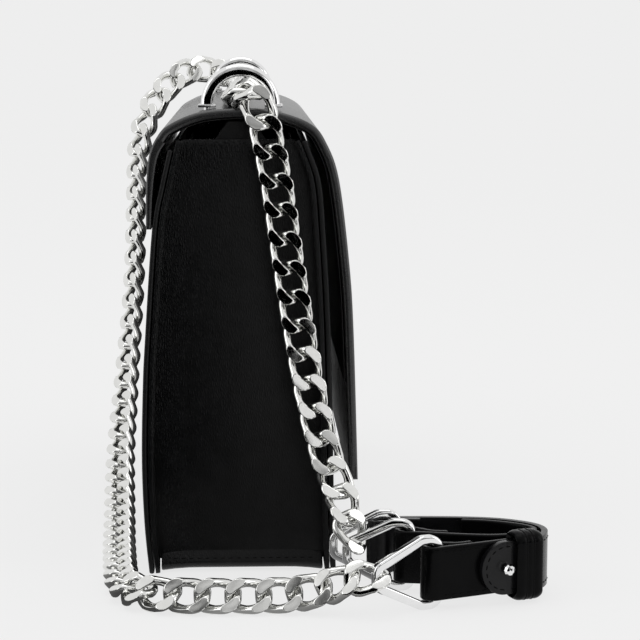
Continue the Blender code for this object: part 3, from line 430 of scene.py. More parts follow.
weave = {"threads": 600, "waver": 1.0, "tones": (0.2, 0.8), "dark": (0.012, 0.012, 0.013),
         "light": (0.030, 0.030, 0.032), "relief": 0.3, "rough": 0.85}


def fabricMaterial():
    material, tree, shader = newMaterial("liningWeave")
    threads = tree.nodes.new("ShaderNodeTexWave")
    threads.inputs["Scale"].default_value = weave["threads"]
    threads.inputs["Distortion"].default_value = weave["waver"]
    tree.links.new(objectCoords(tree), threads.inputs["Vector"])
    colour = twoTones(tree, threads.outputs["Fac"], weave["tones"], weave["dark"], weave["light"])
    tree.links.new(colour, shader.inputs["Base Color"])
    addRelief(tree, shader, threads.outputs["Fac"], weave["relief"])
    shader.inputs["Roughness"].default_value = weave["rough"]
    return material


board = {"fibres": 420, "tones": (0.3, 0.7), "dark": (0.12, 0.10, 0.08), "light": (0.24, 0.21, 0.16),
         "rough": 0.9}


def boardMaterial():
    material, tree, shader = newMaterial("fibreBoard")
    fibres = noiseNode(tree, objectCoords(tree), board["fibres"], 6.0)
    colour = twoTones(tree, fibres, board["tones"], board["dark"], board["light"])
    tree.links.new(colour, shader.inputs["Base Color"])
    shader.inputs["Roughness"].default_value = board["rough"]
    return material


blackLeather = leatherMaterial("smoothBlackLeather", dark=(0.0018, 0.0018, 0.0020),
                               light=(0.0034, 0.0034, 0.0037), rough=(0.36, 0.50), bump=0.30, shine=0.30)
flapLeather = leatherMaterial("flapLeather", dark=(0.0040, 0.0040, 0.0043), light=(0.0065, 0.0065, 0.0069),
                              rough=(0.24, 0.36), bump=0.12, shine=0.8)
strapLeather = leatherMaterial("strapLeather", dark=(0.0030, 0.0030, 0.0033), light=(0.0055, 0.0055, 0.0060),
                               rough=(0.14, 0.26), bump=0.14, shine=0.22, scale=1.2)
# painted shade: a darker, less shiny copy of the strap leather, for the billet, the return strap and the
# keeper, which read darker than the long strap
shadedStrapLeather = leatherMaterial("billetLeather", dark=(0.0008, 0.0008, 0.0009), light=(0.0018, 0.0018, 0.0020),
                            rough=(0.14, 0.24), bump=0.14, shine=0.07, scale=1.2)
# painted shade: the gusset leather is made smoother toward the back panel and the top, so these parts read
# darker
gussetLeather = leatherMaterial("gussetLeather", dark=(0.0014, 0.0015, 0.0017),
                                light=(0.0030, 0.0031, 0.0034), rough=(0.34, 0.52), bump=0.42, shine=0.26,
                                scale=1.15, stretch=0.35,
                                paintedShade={"X": (-0.034, 0.004), "Z": (0.172, 0.148), "least": 0.55})
edgeLeather = leatherMaterial("liningLeather", dark=(0.006, 0.006, 0.006), light=(0.010, 0.010, 0.010),
                              rough=(0.45, 0.60), bump=0.2, shine=0.5, scale=1.4)
threadFinish = leatherMaterial("blackThread", dark=(0.0008, 0.0008, 0.0009), light=(0.002, 0.002, 0.002),
                               rough=(0.5, 0.7), bump=0.3, shine=0.08, scale=3.0)
steelFinish = metalMaterial("polishedChain", (0.84, 0.84, 0.82), (0.03, 0.13))
hoopFinish = metalMaterial("polishedHoop", (0.93, 0.93, 0.93), (0.05, 0.12), 0.8)
liningWeave = fabricMaterial()
fibreBoard = boardMaterial()
print("materials ready")

# the bag's side outlines, as shares of depth, height and the flap's stand-off
flapShares = (
    (-0.496, 0.746, 0.0), (-0.493, 0.829, 0.0), (-0.477, 0.898, 0.0), (-0.437, 0.938, 0.0),
    (-0.370, 0.966, 0.0), (-0.201, 0.993, 0.0), (0.045, 1.0, 0.0), (0.190, 0.991, 0.18),
    (0.298, 0.966, 0.56), (0.345, 0.927, 0.79), (0.416, 0.849, 0.76), (0.452, 0.673, 0.90),
    (0.470, 0.519, 0.95), (0.487, 0.204, 1.0),
)
backShares = (
    (-0.499, 0.0), (-0.523, 0.11), (-0.533, 0.25), (-0.523, 0.41), (-0.508, 0.514),
    (-0.4645, 0.746), (-0.423, 0.835), (-0.377, 0.915),
)
frontShares = (
    (0.499, 0.0), (0.489, 0.138), (0.470, 0.519), (0.438, 0.761), (0.416, 0.849),
    (0.370, 0.905), (0.340, 0.934),
)
lineSteps = 6
foldIndex = 3 * lineSteps  # the flap folds at the fourth of its points
flapLine, backLine, frontLine = (smoothLine(fromShares(shares), lineSteps)
                                 for shares in (flapShares, backShares, frontShares))


# panels
panel = {"thickness": 0.0020, "round": 0.0008, "rows": 24, "groove": 0.0005, "swell": 0.0015}


def buildPanels():
    rows = panel["rows"]
    for name, node, line, out, swell in (("backPanel", "back_panel", backLine, -1, 0.0),
                                         ("frontPanel", "front_panel", frontLine, 1, panel["swell"])):
        bm = drawnSheet([(p.x, -halfLength, p.y) for p in line], (0, bag["length"] / rows, 0), rows)
        for vert in bm.verts:
            rise = max(math.sin(math.pi * min(vert.co.z / bag["height"], 1.0) ** 2), 0)
            vert.co.x += swell * math.cos(math.pi * vert.co.y / bag["length"]) * rise
        faceOut(bm, lambda c: Vector((out, 0, 0)))
        partOfBag(shell(name, bm, blackLeather, panel["thickness"], panel["round"]), node)


def betweenPanels(z, play=0.0):
    # how far left and right a piece may reach at a height
    inset = panel["thickness"] + panel["groove"] + play
    return readLine(backLine, z, 1) + inset, readLine(frontLine, z, 1) - inset


# base and gussets; foot is where a gusset comes out to meet the pared edge of the base
base = {"thickness": 0.0020, "rise": 0.0012, "riseRun": 0.022, "corner": 0.0035, "cornerSteps": 6,
        "flange": 0.0072, "pared": 0.92, "paredFrom": 0.6, "rows": 12, "round": 0.0006,
        "drop": 0.9, "dropFrom": 0.55, "seamHeight": 0.0054, "seamEnd": 0.004, "seamSunk": 0.0001}
gusset = {"thickness": 0.0018, "recess": 0.0048, "swell": 0.0022, "rows": 60, "columns": 22,
          "top": 0.934, "round": 0.0006, "foot": 0.0005, "footReach": 0.006, "footSide": 0.1}
seamTop = base["rise"] + base["flange"] + bag["gap"]


def buildGussets():
    faceY = halfLength - gusset["recess"] - gusset["thickness"]
    top = gusset["top"] * bag["height"]
    columns = gusset["columns"]
    for side, name, node in ((-1, "gussetNear", "gusset_near"), (1, "gussetFar", "gusset_far")):
        bm = bmesh.new()
        bmesh.ops.create_grid(bm, x_segments=columns + 2, y_segments=gusset["rows"], size=0.5)
        for vert in bm.verts:
            # the outermost columns become the flanges that are sewn to the panels
            column = round((vert.co.x + 0.5) * (columns + 2))
            inside = 0 < column < columns + 2
            across = min(max((column - 1) / columns, 0), 1)
            foot = seamTop - base["flange"] / 2 if inside else bag["gap"]
            z = foot + (top - foot) * (vert.co.y + 0.5)
            left, right = betweenPanels(z)
            y = halfLength
            if inside:
                swell = gusset["swell"] * math.sin(math.pi * max(z - seamTop, 0) / (top - seamTop))
                y = faceY + swell * math.sin(math.pi * across) ** 2
                near = max(1 - abs(z - seamTop) / gusset["footReach"], 0)
                y += gusset["foot"] * near * min(across, 1 - across, gusset["footSide"]) / gusset["footSide"]
            vert.co = Vector((left + (right - left) * across, side * y, z))
        faceOut(bm, lambda c: Vector((0, side, 0)))
        partOfBag(shell(name, bm, gussetLeather, gusset["thickness"], gusset["round"], 1.0, 50), node)


def buildBase():
    run = halfLength - gusset["recess"] + base["thickness"] + bag["gap"]
    flat = run - base["riseRun"]
    half = [Vector((0, 0)), Vector((flat * 0.5, 0)), Vector((flat, 0))]
    for step in range(base["cornerSteps"] + 1):
        angle = math.pi / 2 * step / base["cornerSteps"]
        half.append(Vector((run - base["corner"] + base["corner"] * math.sin(angle),
                            base["rise"] + base["corner"] * (1 - math.cos(angle)))))
    half.append(Vector((run, base["rise"] + base["flange"])))
    line = [Vector((-p.x, p.y)) for p in reversed(half[1:])] + half
    low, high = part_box("base_panel")
    left, right = low.x, high.x
    bm = drawnSheet([(left, p.x, p.y) for p in line], ((right - left) / base["rows"], 0, 0), base["rows"])
    faceOut(bm, lambda c: Vector((0, 0, -1)))
    for vert in bm.verts:
        # the corners come down to the floor
        share = abs(vert.co.x - (left + right) / 2) * 2 / (right - left)
        bent = max((share - base["dropFrom"]) / (1 - base["dropFrom"]), 0) ** 2
        vert.co.z -= base["drop"] * min(vert.co.z, base["rise"]) * bent
    piece = shell("basePanel", bm, gussetLeather, base["thickness"], base["round"])
    # the turned-up end is pared thin toward its edge
    pared = base["thickness"] * base["pared"]
    start, end = base["rise"] + base["corner"] * base["paredFrom"], base["rise"] + base["flange"]
    for vert in piece.data.vertices:
        share = min(max((vert.co.z - start) / (end - start), 0), 1)
        outer = run - abs(vert.co.y)
        if share > 0 and outer < pared:
            vert.co.y -= math.copysign((pared - outer) * share, vert.co.y)
    bm = bmesh.new()
    out = run - pared * (base["seamHeight"] - start) / (end - start) - base["seamSunk"]
    for side in (-1, 1):
        ends = [Vector((x, side * out, base["seamHeight"]))
                for x in (left + base["seamEnd"], right - base["seamEnd"])]
        stitchRow(bm, ends, [Vector((0, side, 0))])
    partOfBag(toObject("baseStitches", bm, threadFinish))
    partOfBag(piece, "base_panel")


# lining: an open cup of cloth, narrower where it lies on the base
lining = {"top": 0.160, "step": 0.0021, "bend": 0.005, "rows": 8, "thickness": 0.0010,
          "floor": (-0.0318, 0.0312), "middle": 0.08}


def buildLining():
    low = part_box("lining")[0].z
    bend = low + lining["bend"]
    levels = [low, low + base["rise"] + lining["step"]]
    levels += [bend + (lining["top"] - bend) * n / lining["rows"] for n in range(1, lining["rows"] + 1)]
    bm = bmesh.new()
    rings = []
    for z in levels:
        if z == low:
            run = halfLength - gusset["recess"] - base["riseRun"]
            left, right = lining["floor"]
        else:
            run = halfLength - gusset["recess"] - gusset["thickness"] - bag["gap"]
            left, right = betweenPanels(z, bag["gap"])
            left, right = left + gusset["thickness"], right - gusset["thickness"]
        ring = [bm.verts.new((x, y, z)) for x, y in ((left, -run), (right, -run), (right, run), (left, run))]
        rings.append([bm.edges.new((ring[n], ring[(n + 1) % 4])) for n in range(4)])
    bmesh.ops.contextual_create(bm, geom=rings[0])
    for first, second in zip(rings, rings[1:]):
        bmesh.ops.bridge_loops(bm, edges=first + second)
    bmesh.ops.recalc_face_normals(bm, faces=bm.faces)
    faceOut(bm, lambda c: c - up * lining["middle"])
    piece = shell("bagLining", bm, liningWeave, lining["thickness"])
    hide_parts("lining")
    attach(piece, "bag")


# tabs at the gussets' tops
tab = {"width": 0.020, "topWidth": 0.010, "thickness": 0.0016, "round": 0.0005}


def buildTabs():
    for side, name, node in ((-1, "gussetTabNear", "gusset_tab_near"), (1, "gussetTabFar", "gusset_tab_far")):
        low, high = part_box(node)
        wide, narrow, middle = tab["width"] / 2, tab["topWidth"] / 2, (low.z + high.z) / 2
        outline = ((-wide, low.z), (wide, low.z), (wide, middle), (narrow, high.z), (-narrow, high.z),
                   (-wide, middle))
        y = low.y if side < 0 else high.y
        bm = drawnBlock([(x, y, z) for x, z in outline], (0, -side * tab["thickness"], 0))
        piece = toObject(name, bm, blackLeather)
        roundEdges(piece, tab["round"])
        partOfBag(bake(piece), node)


# flap: its back edge is skived thin, and two layers hang down in front
flapSize = {"thickness": 0.0042, "sewn": 0.0020, "lining": 0.0004, "round": 0.0015, "backRound": 0.0010,
            "liningRound": 0.0001, "liningInset": 0.004, "liningStart": 4, "jointGap": 0.2,
            "segments": 6, "crease": 50}


def taperedStrip(outer, inner, name, material, width, inset=0.0, joined=None):
    # outer and inner lines closed into one profile; nothing is rounded where it is joined
    points = [(p.x, inset - halfLength, p.y) for p in outer + inner[::-1]]
    piece = toObject(name, drawnBlock(points, (0, bag["length"] - 2 * inset, 0)), material)

    def atEnds(first, second):
        middle = (first + second) / 2
        atJoint = joined and (Vector((middle.x, middle.z)) - joined).length < 1e-5
        return 1.0 if abs(first.y - second.y) < 1e-6 and not atJoint else 0.0

    return roundChosen(piece, width, flapSize["segments"], atEnds, flapSize["crease"])


def flapOffset(amount):
    moved = []
    for index, (point, inner) in enumerate(zip(flapLine, offsetLine(flapLine, 1.0))):
        skived = max(1 - index / foldIndex, 0)
        moved.append(point + (inner - point) * (amount - skived * (flapSize["thickness"] - flapSize["sewn"])))
    return moved


def buildFlap():
    inner = flapOffset(flapSize["thickness"])
    back = taperedStrip(flapLine[:foldIndex + 1], inner[:foldIndex + 1], "flapBack", flapLeather,
                        flapSize["backRound"], joined=(flapLine[foldIndex] + inner[foldIndex]) / 2)
    ahead = (flapLine[foldIndex + 1] - flapLine[foldIndex - 1]).normalized()
    leather = flapSize["thickness"] - flapSize["lining"]
    lines = []
    for line in (flapLine, flapOffset(leather - bag["gap"]), flapOffset(leather), inner):
        lines.append([p.copy() for p in line[foldIndex:]])
        lines[-1][0] += ahead * bag["gap"] * flapSize["jointGap"]
    outer, under, joint, lowest = lines
    flap = taperedStrip(outer, under, "flapOuter", flapLeather, flapSize["round"],
                        joined=(outer[0] + under[0]) / 2)
    trim = slice(flapSize["liningStart"], -flapSize["liningStart"])
    inside = taperedStrip(joint[trim], lowest[trim], "flapInner", edgeLeather, flapSize["liningRound"],
                          flapSize["liningInset"])
    for piece, node, body in ((back, "flap_back", "bag"), (flap, "flap", "flap"),
                              (inside, "flap_lining", "flap")):
        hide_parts(node)
        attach(piece, body)


# hoops; metal is shaded smooth up to metalCrease
metalCrease = 35
hoop = {"setback": 0.0150, "halfSpan": 0.01285, "rise": 0.0130, "radial": 0.0047, "depth": 0.0070,
        "bevel": 0.0020, "innerShare": 0.4, "footHeight": 0.0012, "footFlange": 0.0011, "footRound": 0.0003,
        "steps": 48, "segments": 5, "crease": 40}


def buildHoops():
    flapTop = flapLine[foldIndex:]
    reach = hoop["radial"] / 2 + hoop["footFlange"]
    footZ = max(readLine(flapTop, side * hoop["halfSpan"] + out * reach, 0)
                for side in (-1, 1) for out in (-1, 1)) + bag["gap"]
    baseZ = footZ + hoop["footHeight"]
    stretch = (hoop["rise"] + hoop["radial"] / 2) / (hoop["halfSpan"] + hoop["radial"] / 2)

    def alongArch(first, second):
        radii = [math.hypot(co.x, (co.z - baseZ) / stretch) for co in (first, second)]
        if abs(first.y - second.y) > 1e-6 or abs(radii[0] - radii[1]) > 1e-5:
            return 0.0
        return 1.0 if radii[0] > hoop["halfSpan"] else hoop["innerShare"]

    for name, node, y in (("archNear", "hoop_near", -halfLength + hoop["setback"]),
                          ("archFar", "hoop_far", halfLength - hoop["setback"])):
        bm = flatCard(hoop["radial"], hoop["depth"])
        bmesh.ops.translate(bm, verts=bm.verts, vec=(hoop["halfSpan"], y, 0))
        bmesh.ops.spin(bm, geom=bm.verts[:] + bm.edges[:] + bm.faces[:], cent=(0, y, 0), axis=(0, -1, 0),
                       angle=math.pi, steps=hoop["steps"], use_duplicate=False)
        bmesh.ops.remove_doubles(bm, verts=bm.verts, dist=1e-6)
        for vert in bm.verts:
            vert.co.z = baseZ + abs(vert.co.z) * stretch
        bmesh.ops.recalc_face_normals(bm, faces=bm.faces)
        arch = roundChosen(toObject(name, bm, hoopFinish), hoop["bevel"], hoop["segments"], alongArch,
                           hoop["crease"])
        bm = bmesh.new()
        grow = 2 * hoop["footFlange"]
        for side in (-1, 1):
            made = bmesh.ops.create_cube(bm, size=1.0)["verts"]
            bmesh.ops.scale(bm, verts=made,
                            vec=(hoop["radial"] + grow, hoop["depth"] + grow, hoop["footHeight"]))
            bmesh.ops.translate(bm, verts=made,
                                vec=(side * hoop["halfSpan"], y, footZ + hoop["footHeight"] / 2))
        bmesh.ops.bevel(bm, geom=bm.edges[:], offset=hoop["footRound"], segments=2, affect="EDGES",
                        profile=0.5, material=-1)
        feet = toObject(name + "Feet", bm, hoopFinish, metalCrease)
        feet.parent = arch
        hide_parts(node)
        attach(arch, "flap")


# strap and rings: routes are in the millimetres of a bag of routeBag's size, seen from above
routeBag = (73, 250, 181)
routeScale = Vector((bag["depth"] / routeBag[0], bag["length"] / routeBag[1], bag["height"] / routeBag[2]))
strap = {"width": 0.0200, "thickness": 0.0024, "clearance": 0.0005, "tail": 0.0160, "round": 0.0007,
         "rows": 8, "foldSteps": 14, "tipSteps": 14, "leastTip": 0.02, "tailSteps": 4, "coarseSteps": 2,
         "fineSteps": 3, "bendSteps": 5, "lapFrom": 5,
         "seam": 0.0019, "seamTip": 24, "seamSteps": 240, "seamStop": 6}
ring = {"wire": 0.0034, "length": 0.0246, "height": 0.0244, "apex": 0.0070, "shoulder": 0.0070,
        "corner": 0.0040, "apexCorner": 0.0030, "bevel": 0.0008, "cornerSteps": 8}
ringTurn = {"ring_a": 0.36, "ring_b": -0.20, "ring_c": 0.0}
billetStart = (70.9, -178.0)
billetRoute = ((75, -176.2), (82.5, -173.3), (89.5, -170.4), (93.5, -168.7))
billetStraight = ((96.6, -167.4), (107.2, -163.3))
longBend = (
    (111.6, -161.0), (113.5, -155.5), (113.4, -149.8), (111.2, -144.9), (106.4, -140.4),
    (98, -136.0), (86, -133.4), (72, -132.2), (58, -131.8),
)
longEnd = (52.4, -131.6)
ringPlace = (57.4, -131.7)
returnStart = (61.0, -154.3)
returnRoute = (
    (68, -155.4), (81.6, -158.6), (92, -160.2), (100, -159.4), (105.8, -157.2),
    (109.4, -153.6), (110.1, -149.8), (107.9, -146.3), (103.8, -143.0), (97, -139.4),
    (90, -137.2), (84, -136.2),
)
tailShares = ((0.65, 0.0), (0.42, 0.45), (0.2, 0.96))
strapZ = ring["height"] / 2 + ring["wire"] / 2
layer = strap["thickness"] + bag["gap"]
foldRadius = ring["wire"] / 2 + strap["clearance"] + strap["thickness"] / 2


def plan(*places):
    return [Vector((x * routeScale.x, y * routeScale.y)) for x, y in places]


def foldPoints(start, along, side):
    # the loop of leather round a ring's bar, from its tail to the strap's start
    across = Vector((-along.y, along.x)) * side
    turnEnd = 2 * foldRadius
    tail = [(strap["tail"], layer)]
    tail += [(strap["tail"] * reach, layer + (turnEnd - layer) * height) for reach, height in tailShares]
    tail.append((0, turnEnd))
    points = smoothLine([start + along * u + across * v for u, v in tail], strap["tailSteps"])
    for step in range(1, strap["foldSteps"] + 1):
        angle = math.pi * step / strap["foldSteps"]
        points.append(start + along * (-foldRadius * math.sin(angle))
                      + across * (foldRadius + foldRadius * math.cos(angle)))
    return points, start + along * (foldRadius - strap["thickness"] / 2) + across * foldRadius


def ribbon(name, node, line, material, tipLength=0.0):
    # the strap stands on edge: its plan line is drawn up, then gets its wall
    low = strapZ - strap["width"] / 2
    bm = drawnSheet([(p.x, p.y, low) for p in line], (0, 0, strap["width"] / strap["rows"]), strap["rows"])
    if tipLength:
        # the first end is rounded
        lengths = {Vector((*p, low)).to_tuple(7)[:2]: length for p, length in zip(line, lengthsAlong(line))}
        for vert in bm.verts:
            rest = tipLength - lengths[vert.co.to_tuple(7)[:2]]
            if rest > 0:
                share = max(math.sqrt(max(1 - (rest / tipLength) ** 2, 0)), strap["leastTip"])
                vert.co.z = strapZ + (vert.co.z - strapZ) * share
    partOfBag(shell(name, bm, material, strap["thickness"], strap["round"], 0.0, 50), node)


def roundedOutline(corners, radii, steps):
    points = []
    count = len(corners)
    for index, (corner, radius) in enumerate(zip(corners, radii)):
        toLast = (corners[index - 1] - corner).normalized()
        toNext = (corners[(index + 1) % count] - corner).normalized()
        half = toLast.angle(toNext) / 2
        centre = corner + (toLast + toNext).normalized() * radius / math.sin(half)
        start = corner + toLast * radius / math.tan(half) - centre
        end = corner + toNext * radius / math.tan(half) - centre
        spread = start.angle(end)
        for step in range(steps + 1):
            share = step / steps
            arm = start * math.sin((1 - share) * spread) + end * math.sin(share * spread)
            points.append(centre + arm / math.sin(spread))
    return points


def bevelledSquare(half, corner, steps=3):
    reach = half - corner
    points = []
    for turn in range(4):
        cx = reach if turn in (0, 3) else -reach
        cy = reach if turn in (0, 1) else -reach
        for step in range(steps + 1):
            angle = math.pi / 2 * (turn + step / steps)
            points.append((cx + corner * math.cos(angle), cy + corner * math.sin(angle), 0))
    return points


def wireMesh(name, points, section):
    # a closed wire with its own section
    profile = bpy.data.curves.new(name + "Section", "CURVE")
    profile.dimensions = "2D"
    closedSpline(profile, section)
    holder = bpy.data.objects.new(name + "Section", profile)
    scene.collection.objects.link(holder)
    curve = bpy.data.curves.new(name + "Path", "CURVE")
    curve.dimensions = "3D"
    curve.twist_mode = "Z_UP"
    curve.bevel_mode = "OBJECT"
    curve.bevel_object = holder
    closedSpline(curve, points)
    bm = curveToMesh(curve)
    bpy.data.objects.remove(holder, do_unlink=True)
    bmesh.ops.recalc_face_normals(bm, faces=bm.faces)
    return bm


def buildRing(name, node, bar):
    turn = ringTurn[node]
    along = Vector((math.cos(turn), math.sin(turn), 0)).normalized()
    ringMatrix = (placed((bar.x, bar.y, strapZ), along, up, up.cross(along))
                  @ Matrix.Translation((-ring["length"], 0, 0)))
    half, apex, shoulder = ring["height"] / 2, ring["apex"] / 2, ring["length"] - ring["shoulder"]
    corners = [Vector(place) for place in ((0, -apex), (0, apex), (shoulder, half), (ring["length"], half),
                                           (ring["length"], -half), (shoulder, -half))]
    radii = [ring["apexCorner"]] * 2 + [ring["corner"]] * 4
    outline = roundedOutline(corners, radii, ring["cornerSteps"])
    bm = wireMesh(name, [(*p, 0) for p in outline], bevelledSquare(ring["wire"] / 2, ring["bevel"]))
    bmesh.ops.transform(bm, matrix=ringMatrix, verts=bm.verts)
    piece = toObject(name, bm, hoopFinish, metalCrease)
    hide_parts(node)
    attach(piece, node)
    return ringMatrix


# keeper: a loop round both layers, with ridges; sideFrom and topFrom say where its sides push out
keeper = {"length": 0.0085, "wall": 0.0022, "shift": 0.0022, "corner": 0.0016, "cornerSteps": 6,
          "round": 0.0007, "slices": 36, "ridges": 3, "ridge": 0.0006, "fullness": 0.7,
          "sideFrom": 0.5, "topFrom": 0.8}


def buildKeeper(line):
    along = (line[1] - line[0]).normalized()
    out = Vector((along.y, -along.x))
    centre = (line[0] + line[1]) / 2 + along * keeper["shift"] + out * layer / 2
    reachIn = layer / 2 + strap["thickness"] / 2 + bag["gap"]
    reachUp = strap["width"] / 2 + bag["gap"]
    corners = [Vector((x * reachIn, y * reachUp)) for x, y in ((-1, -1), (1, -1), (1, 1), (-1, 1))]
    outline = roundedOutline(corners, [keeper["corner"]] * 4, keeper["cornerSteps"])
    start = centre - along * keeper["length"] / 2
    step = along * keeper["length"] / keeper["slices"]
    bm = drawnSheet([(start.x + out.x * p.x, start.y + out.y * p.x, strapZ + p.y) for p in outline],
                    (step.x, step.y, 0), keeper["slices"], True)
    for vert in bm.verts:
        flat = Vector((vert.co.x - start.x, vert.co.y - start.y))
        wave = math.sin(keeper["ridges"] * math.pi * flat.dot(along) / keeper["length"])
        reach = Vector((flat.dot(out), vert.co.z - strapZ))
        push = Vector((math.copysign(1, reach.x) * (abs(reach.x) > reachIn * keeper["sideFrom"]),
                       math.copysign(1, reach.y) * (abs(reach.y) > reachUp * keeper["topFrom"])))
        push = push.normalized() * keeper["ridge"] * abs(wave) ** keeper["fullness"]
        vert.co += Vector((out.x * push.x, out.y * push.x, push.y))
    faceOut(bm, lambda c: c - Vector((*centre, strapZ)))
    partOfBag(shell("keeperLoop", bm, shadedStrapLeather, keeper["wall"], keeper["round"], 1.0, 60), "strap_keeper")


def strapSeam(bm, line, tipLength):
    # thread along both edges of a strap's outer face, and round its tip
    face = offsetLine(line, strap["thickness"] / 2)
    lengths = lengthsAlong(line)
    inset = strap["width"] / 2 - strap["seam"]

    def onFace(length):
        for index in range(1, len(line)):
            if length <= lengths[index] or index == len(line) - 1:
                share = (length - lengths[index - 1]) / (lengths[index] - lengths[index - 1])
                return face[index - 1].lerp(face[index], share), (face[index] - face[index - 1]).normalized()

    run = lengths[-1] - tipLength - 2 * strap["seam"]
    edge = [strap["seam"] + tipLength + run * n / strap["seamSteps"] for n in range(strap["seamSteps"] + 1)]
    rows = [[(length, inset) for length in edge], [(length, -inset) for length in edge]]
    if tipLength:
        angles = [math.pi * (step / strap["seamTip"] - 0.5) for step in range(strap["seamTip"] + 1)]
        rows[0] = [(tipLength - inset * math.cos(a), inset * math.sin(a)) for a in angles] + rows[0]
    for row in rows:
        spots = [(*onFace(length), strapZ + z) for length, z in row]
        stitchRow(bm, [Vector((*place, z)) for place, along, z in spots],
                  [Vector((along.y, -along.x, 0)) for place, along, z in spots])


def buildStrap():
    straight = plan(*billetStraight)
    start, *route = plan(billetStart, *billetRoute)
    tail, barA = foldPoints(start, (route[0] - start).normalized(), 1)
    coarse = smoothLine([start] + route + [straight[0]], strap["coarseSteps"]) + [straight[1]]
    main = smoothLine(coarse, strap["fineSteps"])
    ribbon("billetStrap", "strap_billet", tail[:-1] + main, shadedStrapLeather)
    # the long strap lies on the billet's outer face, bends round and ends in a loop
    ahead = (straight[1] - straight[0]).normalized()
    near = offsetLine(coarse, layer)[strap["lapFrom"]:]
    bend = smoothLine([near[-1] + ahead * bag["gap"]] + plan(*longBend), strap["bendSteps"])
    end, ringSpot, last = plan(longEnd, ringPlace, longBend[-1])
    tail, barC = foldPoints(end, (last - end).normalized(), -1)
    barC += ringSpot - end
    steps, tipLength = strap["tipSteps"], strap["width"] / 2
    tip = [near[0] + (near[1] - near[0]) * (step / steps) ** 2 for step in range(steps)]
    outerRun = tip + smoothLine(near[1:], strap["fineSteps"]) + bend[1:]
    ribbon("longStrap", "strap_long", outerRun + tail[::-1], strapLeather, tipLength)
    bm = bmesh.new()
    strapSeam(bm, outerRun, tipLength)
    strapSeam(bm, main[:-strap["seamStop"]], 0.0)
    partOfBag(toObject("strapStitches", bm, threadFinish))
    start, *route = plan(returnStart, *returnRoute)
    tail, barB = foldPoints(start, (route[0] - start).normalized(), 1)
    back = smoothLine([start] + route, strap["bendSteps"])
    ribbon("returnStrap", "strap_return", tail[:-1] + back, shadedStrapLeather)
    buildKeeper(straight)
    return barA, barB, barC


# chain: each row is a place in routeBag's millimetres, and the way that a link's face looks there
chain = {"wire": 0.0039, "width": 0.0130, "pitch": 0.0112, "thickness": 0.0056, "lift": 0.0022,
         "squareness": 0.88, "slim": 0.80, "swellBy": 1.25, "rim": 0.00024, "rimAngle": 20, "bow": 0.00004,
         "flatSides": 8, "hookAt": 0.20, "hookGap": 0.0009, "hookLean": -0.34, "slack": 0.0008,
         "steps": 12, "around": 40, "foot": 4, "pitchPlay": 0.1, "halvings": 30}
sideRoute = (
    (37.4, -141.0, 35.5, 0.15, -0.97, 0.10), (32.5, -133.5, 47.0, 0.0, -1.0, 0.10),
    (26.8, -129.8, 70.0, 0.14, -1.0, 0.0), (21.5, -128.7, 100.0, 0.0, -1.0, 0.0),
    (17.2, -128.6, 128.0, 0.0, -1.0, 0.0), (13.8, -128.7, 152.0, 0.0, -1.0, 0.0),
    (10.6, -129.5, 168.0, 0.0, -1.0, 0.05), (8.2, -130.2, 178.4, -0.05, -0.98, 0.15),
    (5.6, -129.0, 184.9, -0.25, -0.80, 0.55), (2.4, -122.6, 187.9, -0.58, -0.16, 0.80),
    (-0.8, -116.0, 186.5, -0.66, -0.03, 0.75), (-1.2, -108.0, 186.4, -0.67, 0.0, 0.74),
)
topRoute = (
    (-1.4, -97.0, 186.4, -0.67, 0.0, 0.74), (-1.4, -70.0, 186.5, -0.70, 0.0, 0.70),
    (-1.2, -35.0, 186.5, -0.70, 0.0, 0.70), (0.0, 10.0, 186.5, -0.70, 0.0, 0.70),
    (0.6, 55.0, 186.5, -0.70, 0.0, 0.70), (-0.2, 92.0, 186.6, -0.68, 0.0, 0.73),
)
backRoute = (
    (-1.0, 108.0, 186.7, -0.66, 0.0, 0.75), (-2.6, 114.0, 186.6, -0.66, -0.10, 0.73),
    (-6.4, 119.4, 188.2, -0.62, -0.55, 0.50), (-12.5, 120.8, 190.2, -0.25, -0.95, 0.25),
    (-19.0, 119.5, 192.0, 0.0, -1.0, 0.10), (-26.5, 116.8, 190.8, 0.0, -1.0, 0.0),
    (-34.2, 112.5, 185.6, -0.05, -1.0, 0.0), (-41.4, 107.0, 177.0, -0.15, -0.98, 0.0),
    (-46.6, 101.5, 167.0, -0.55, -0.83, 0.0), (-49.4, 96.0, 156.0, -0.72, -0.70, 0.0),
    (-50.6, 90.0, 144.0, -0.83, -0.56, 0.0), (-50.9, 81.0, 127.0, -0.86, -0.50, 0.05),
    (-51.1, 70.0, 105.0, -0.86, -0.50, 0.10), (-51.8, 58.0, 84.0, -0.85, -0.48, 0.25),
    (-52.8, 45.0, 67.0, -0.80, -0.46, 0.40), (-53.6, 30.0, 51.5, -0.74, -0.44, 0.52),
    (-54.1, 12.0, 37.8, -0.62, -0.40, 0.66), (-54.2, -10.0, 25.6, -0.56, -0.30, 0.76),
    (-53.4, -32.0, 17.0, -0.50, -0.20, 0.84), (-52.2, -54.0, 10.8, -0.46, -0.12, 0.88),
    (-51.0, -76.0, 6.8, -0.42, -0.06, 0.90), (-49.8, -98.0, 4.8, -0.40, 0.0, 0.92),
)
frontRoute = (
    (-48.4, -118.0, 4.6, -0.40, 0.0, 0.92), (-46.9, -137.5, 4.8, -0.45, -0.10, 0.90),
    (-44.9, -154.0, 5.2, -0.45, -0.30, 0.84), (-41.2, -165.8, 5.7, -0.30, -0.60, 0.74),
    (-33.6, -174.0, 6.2, -0.10, -0.85, 0.50), (-22.0, -177.3, 6.4, 0.0, -0.94, 0.34),
    (-6.0, -178.2, 6.4, 0.0, -0.94, 0.34), (12.0, -178.4, 6.4, 0.0, -0.94, 0.34),
    (26.0, -179.4, 8.0, 0.0, -0.90, 0.44),
)


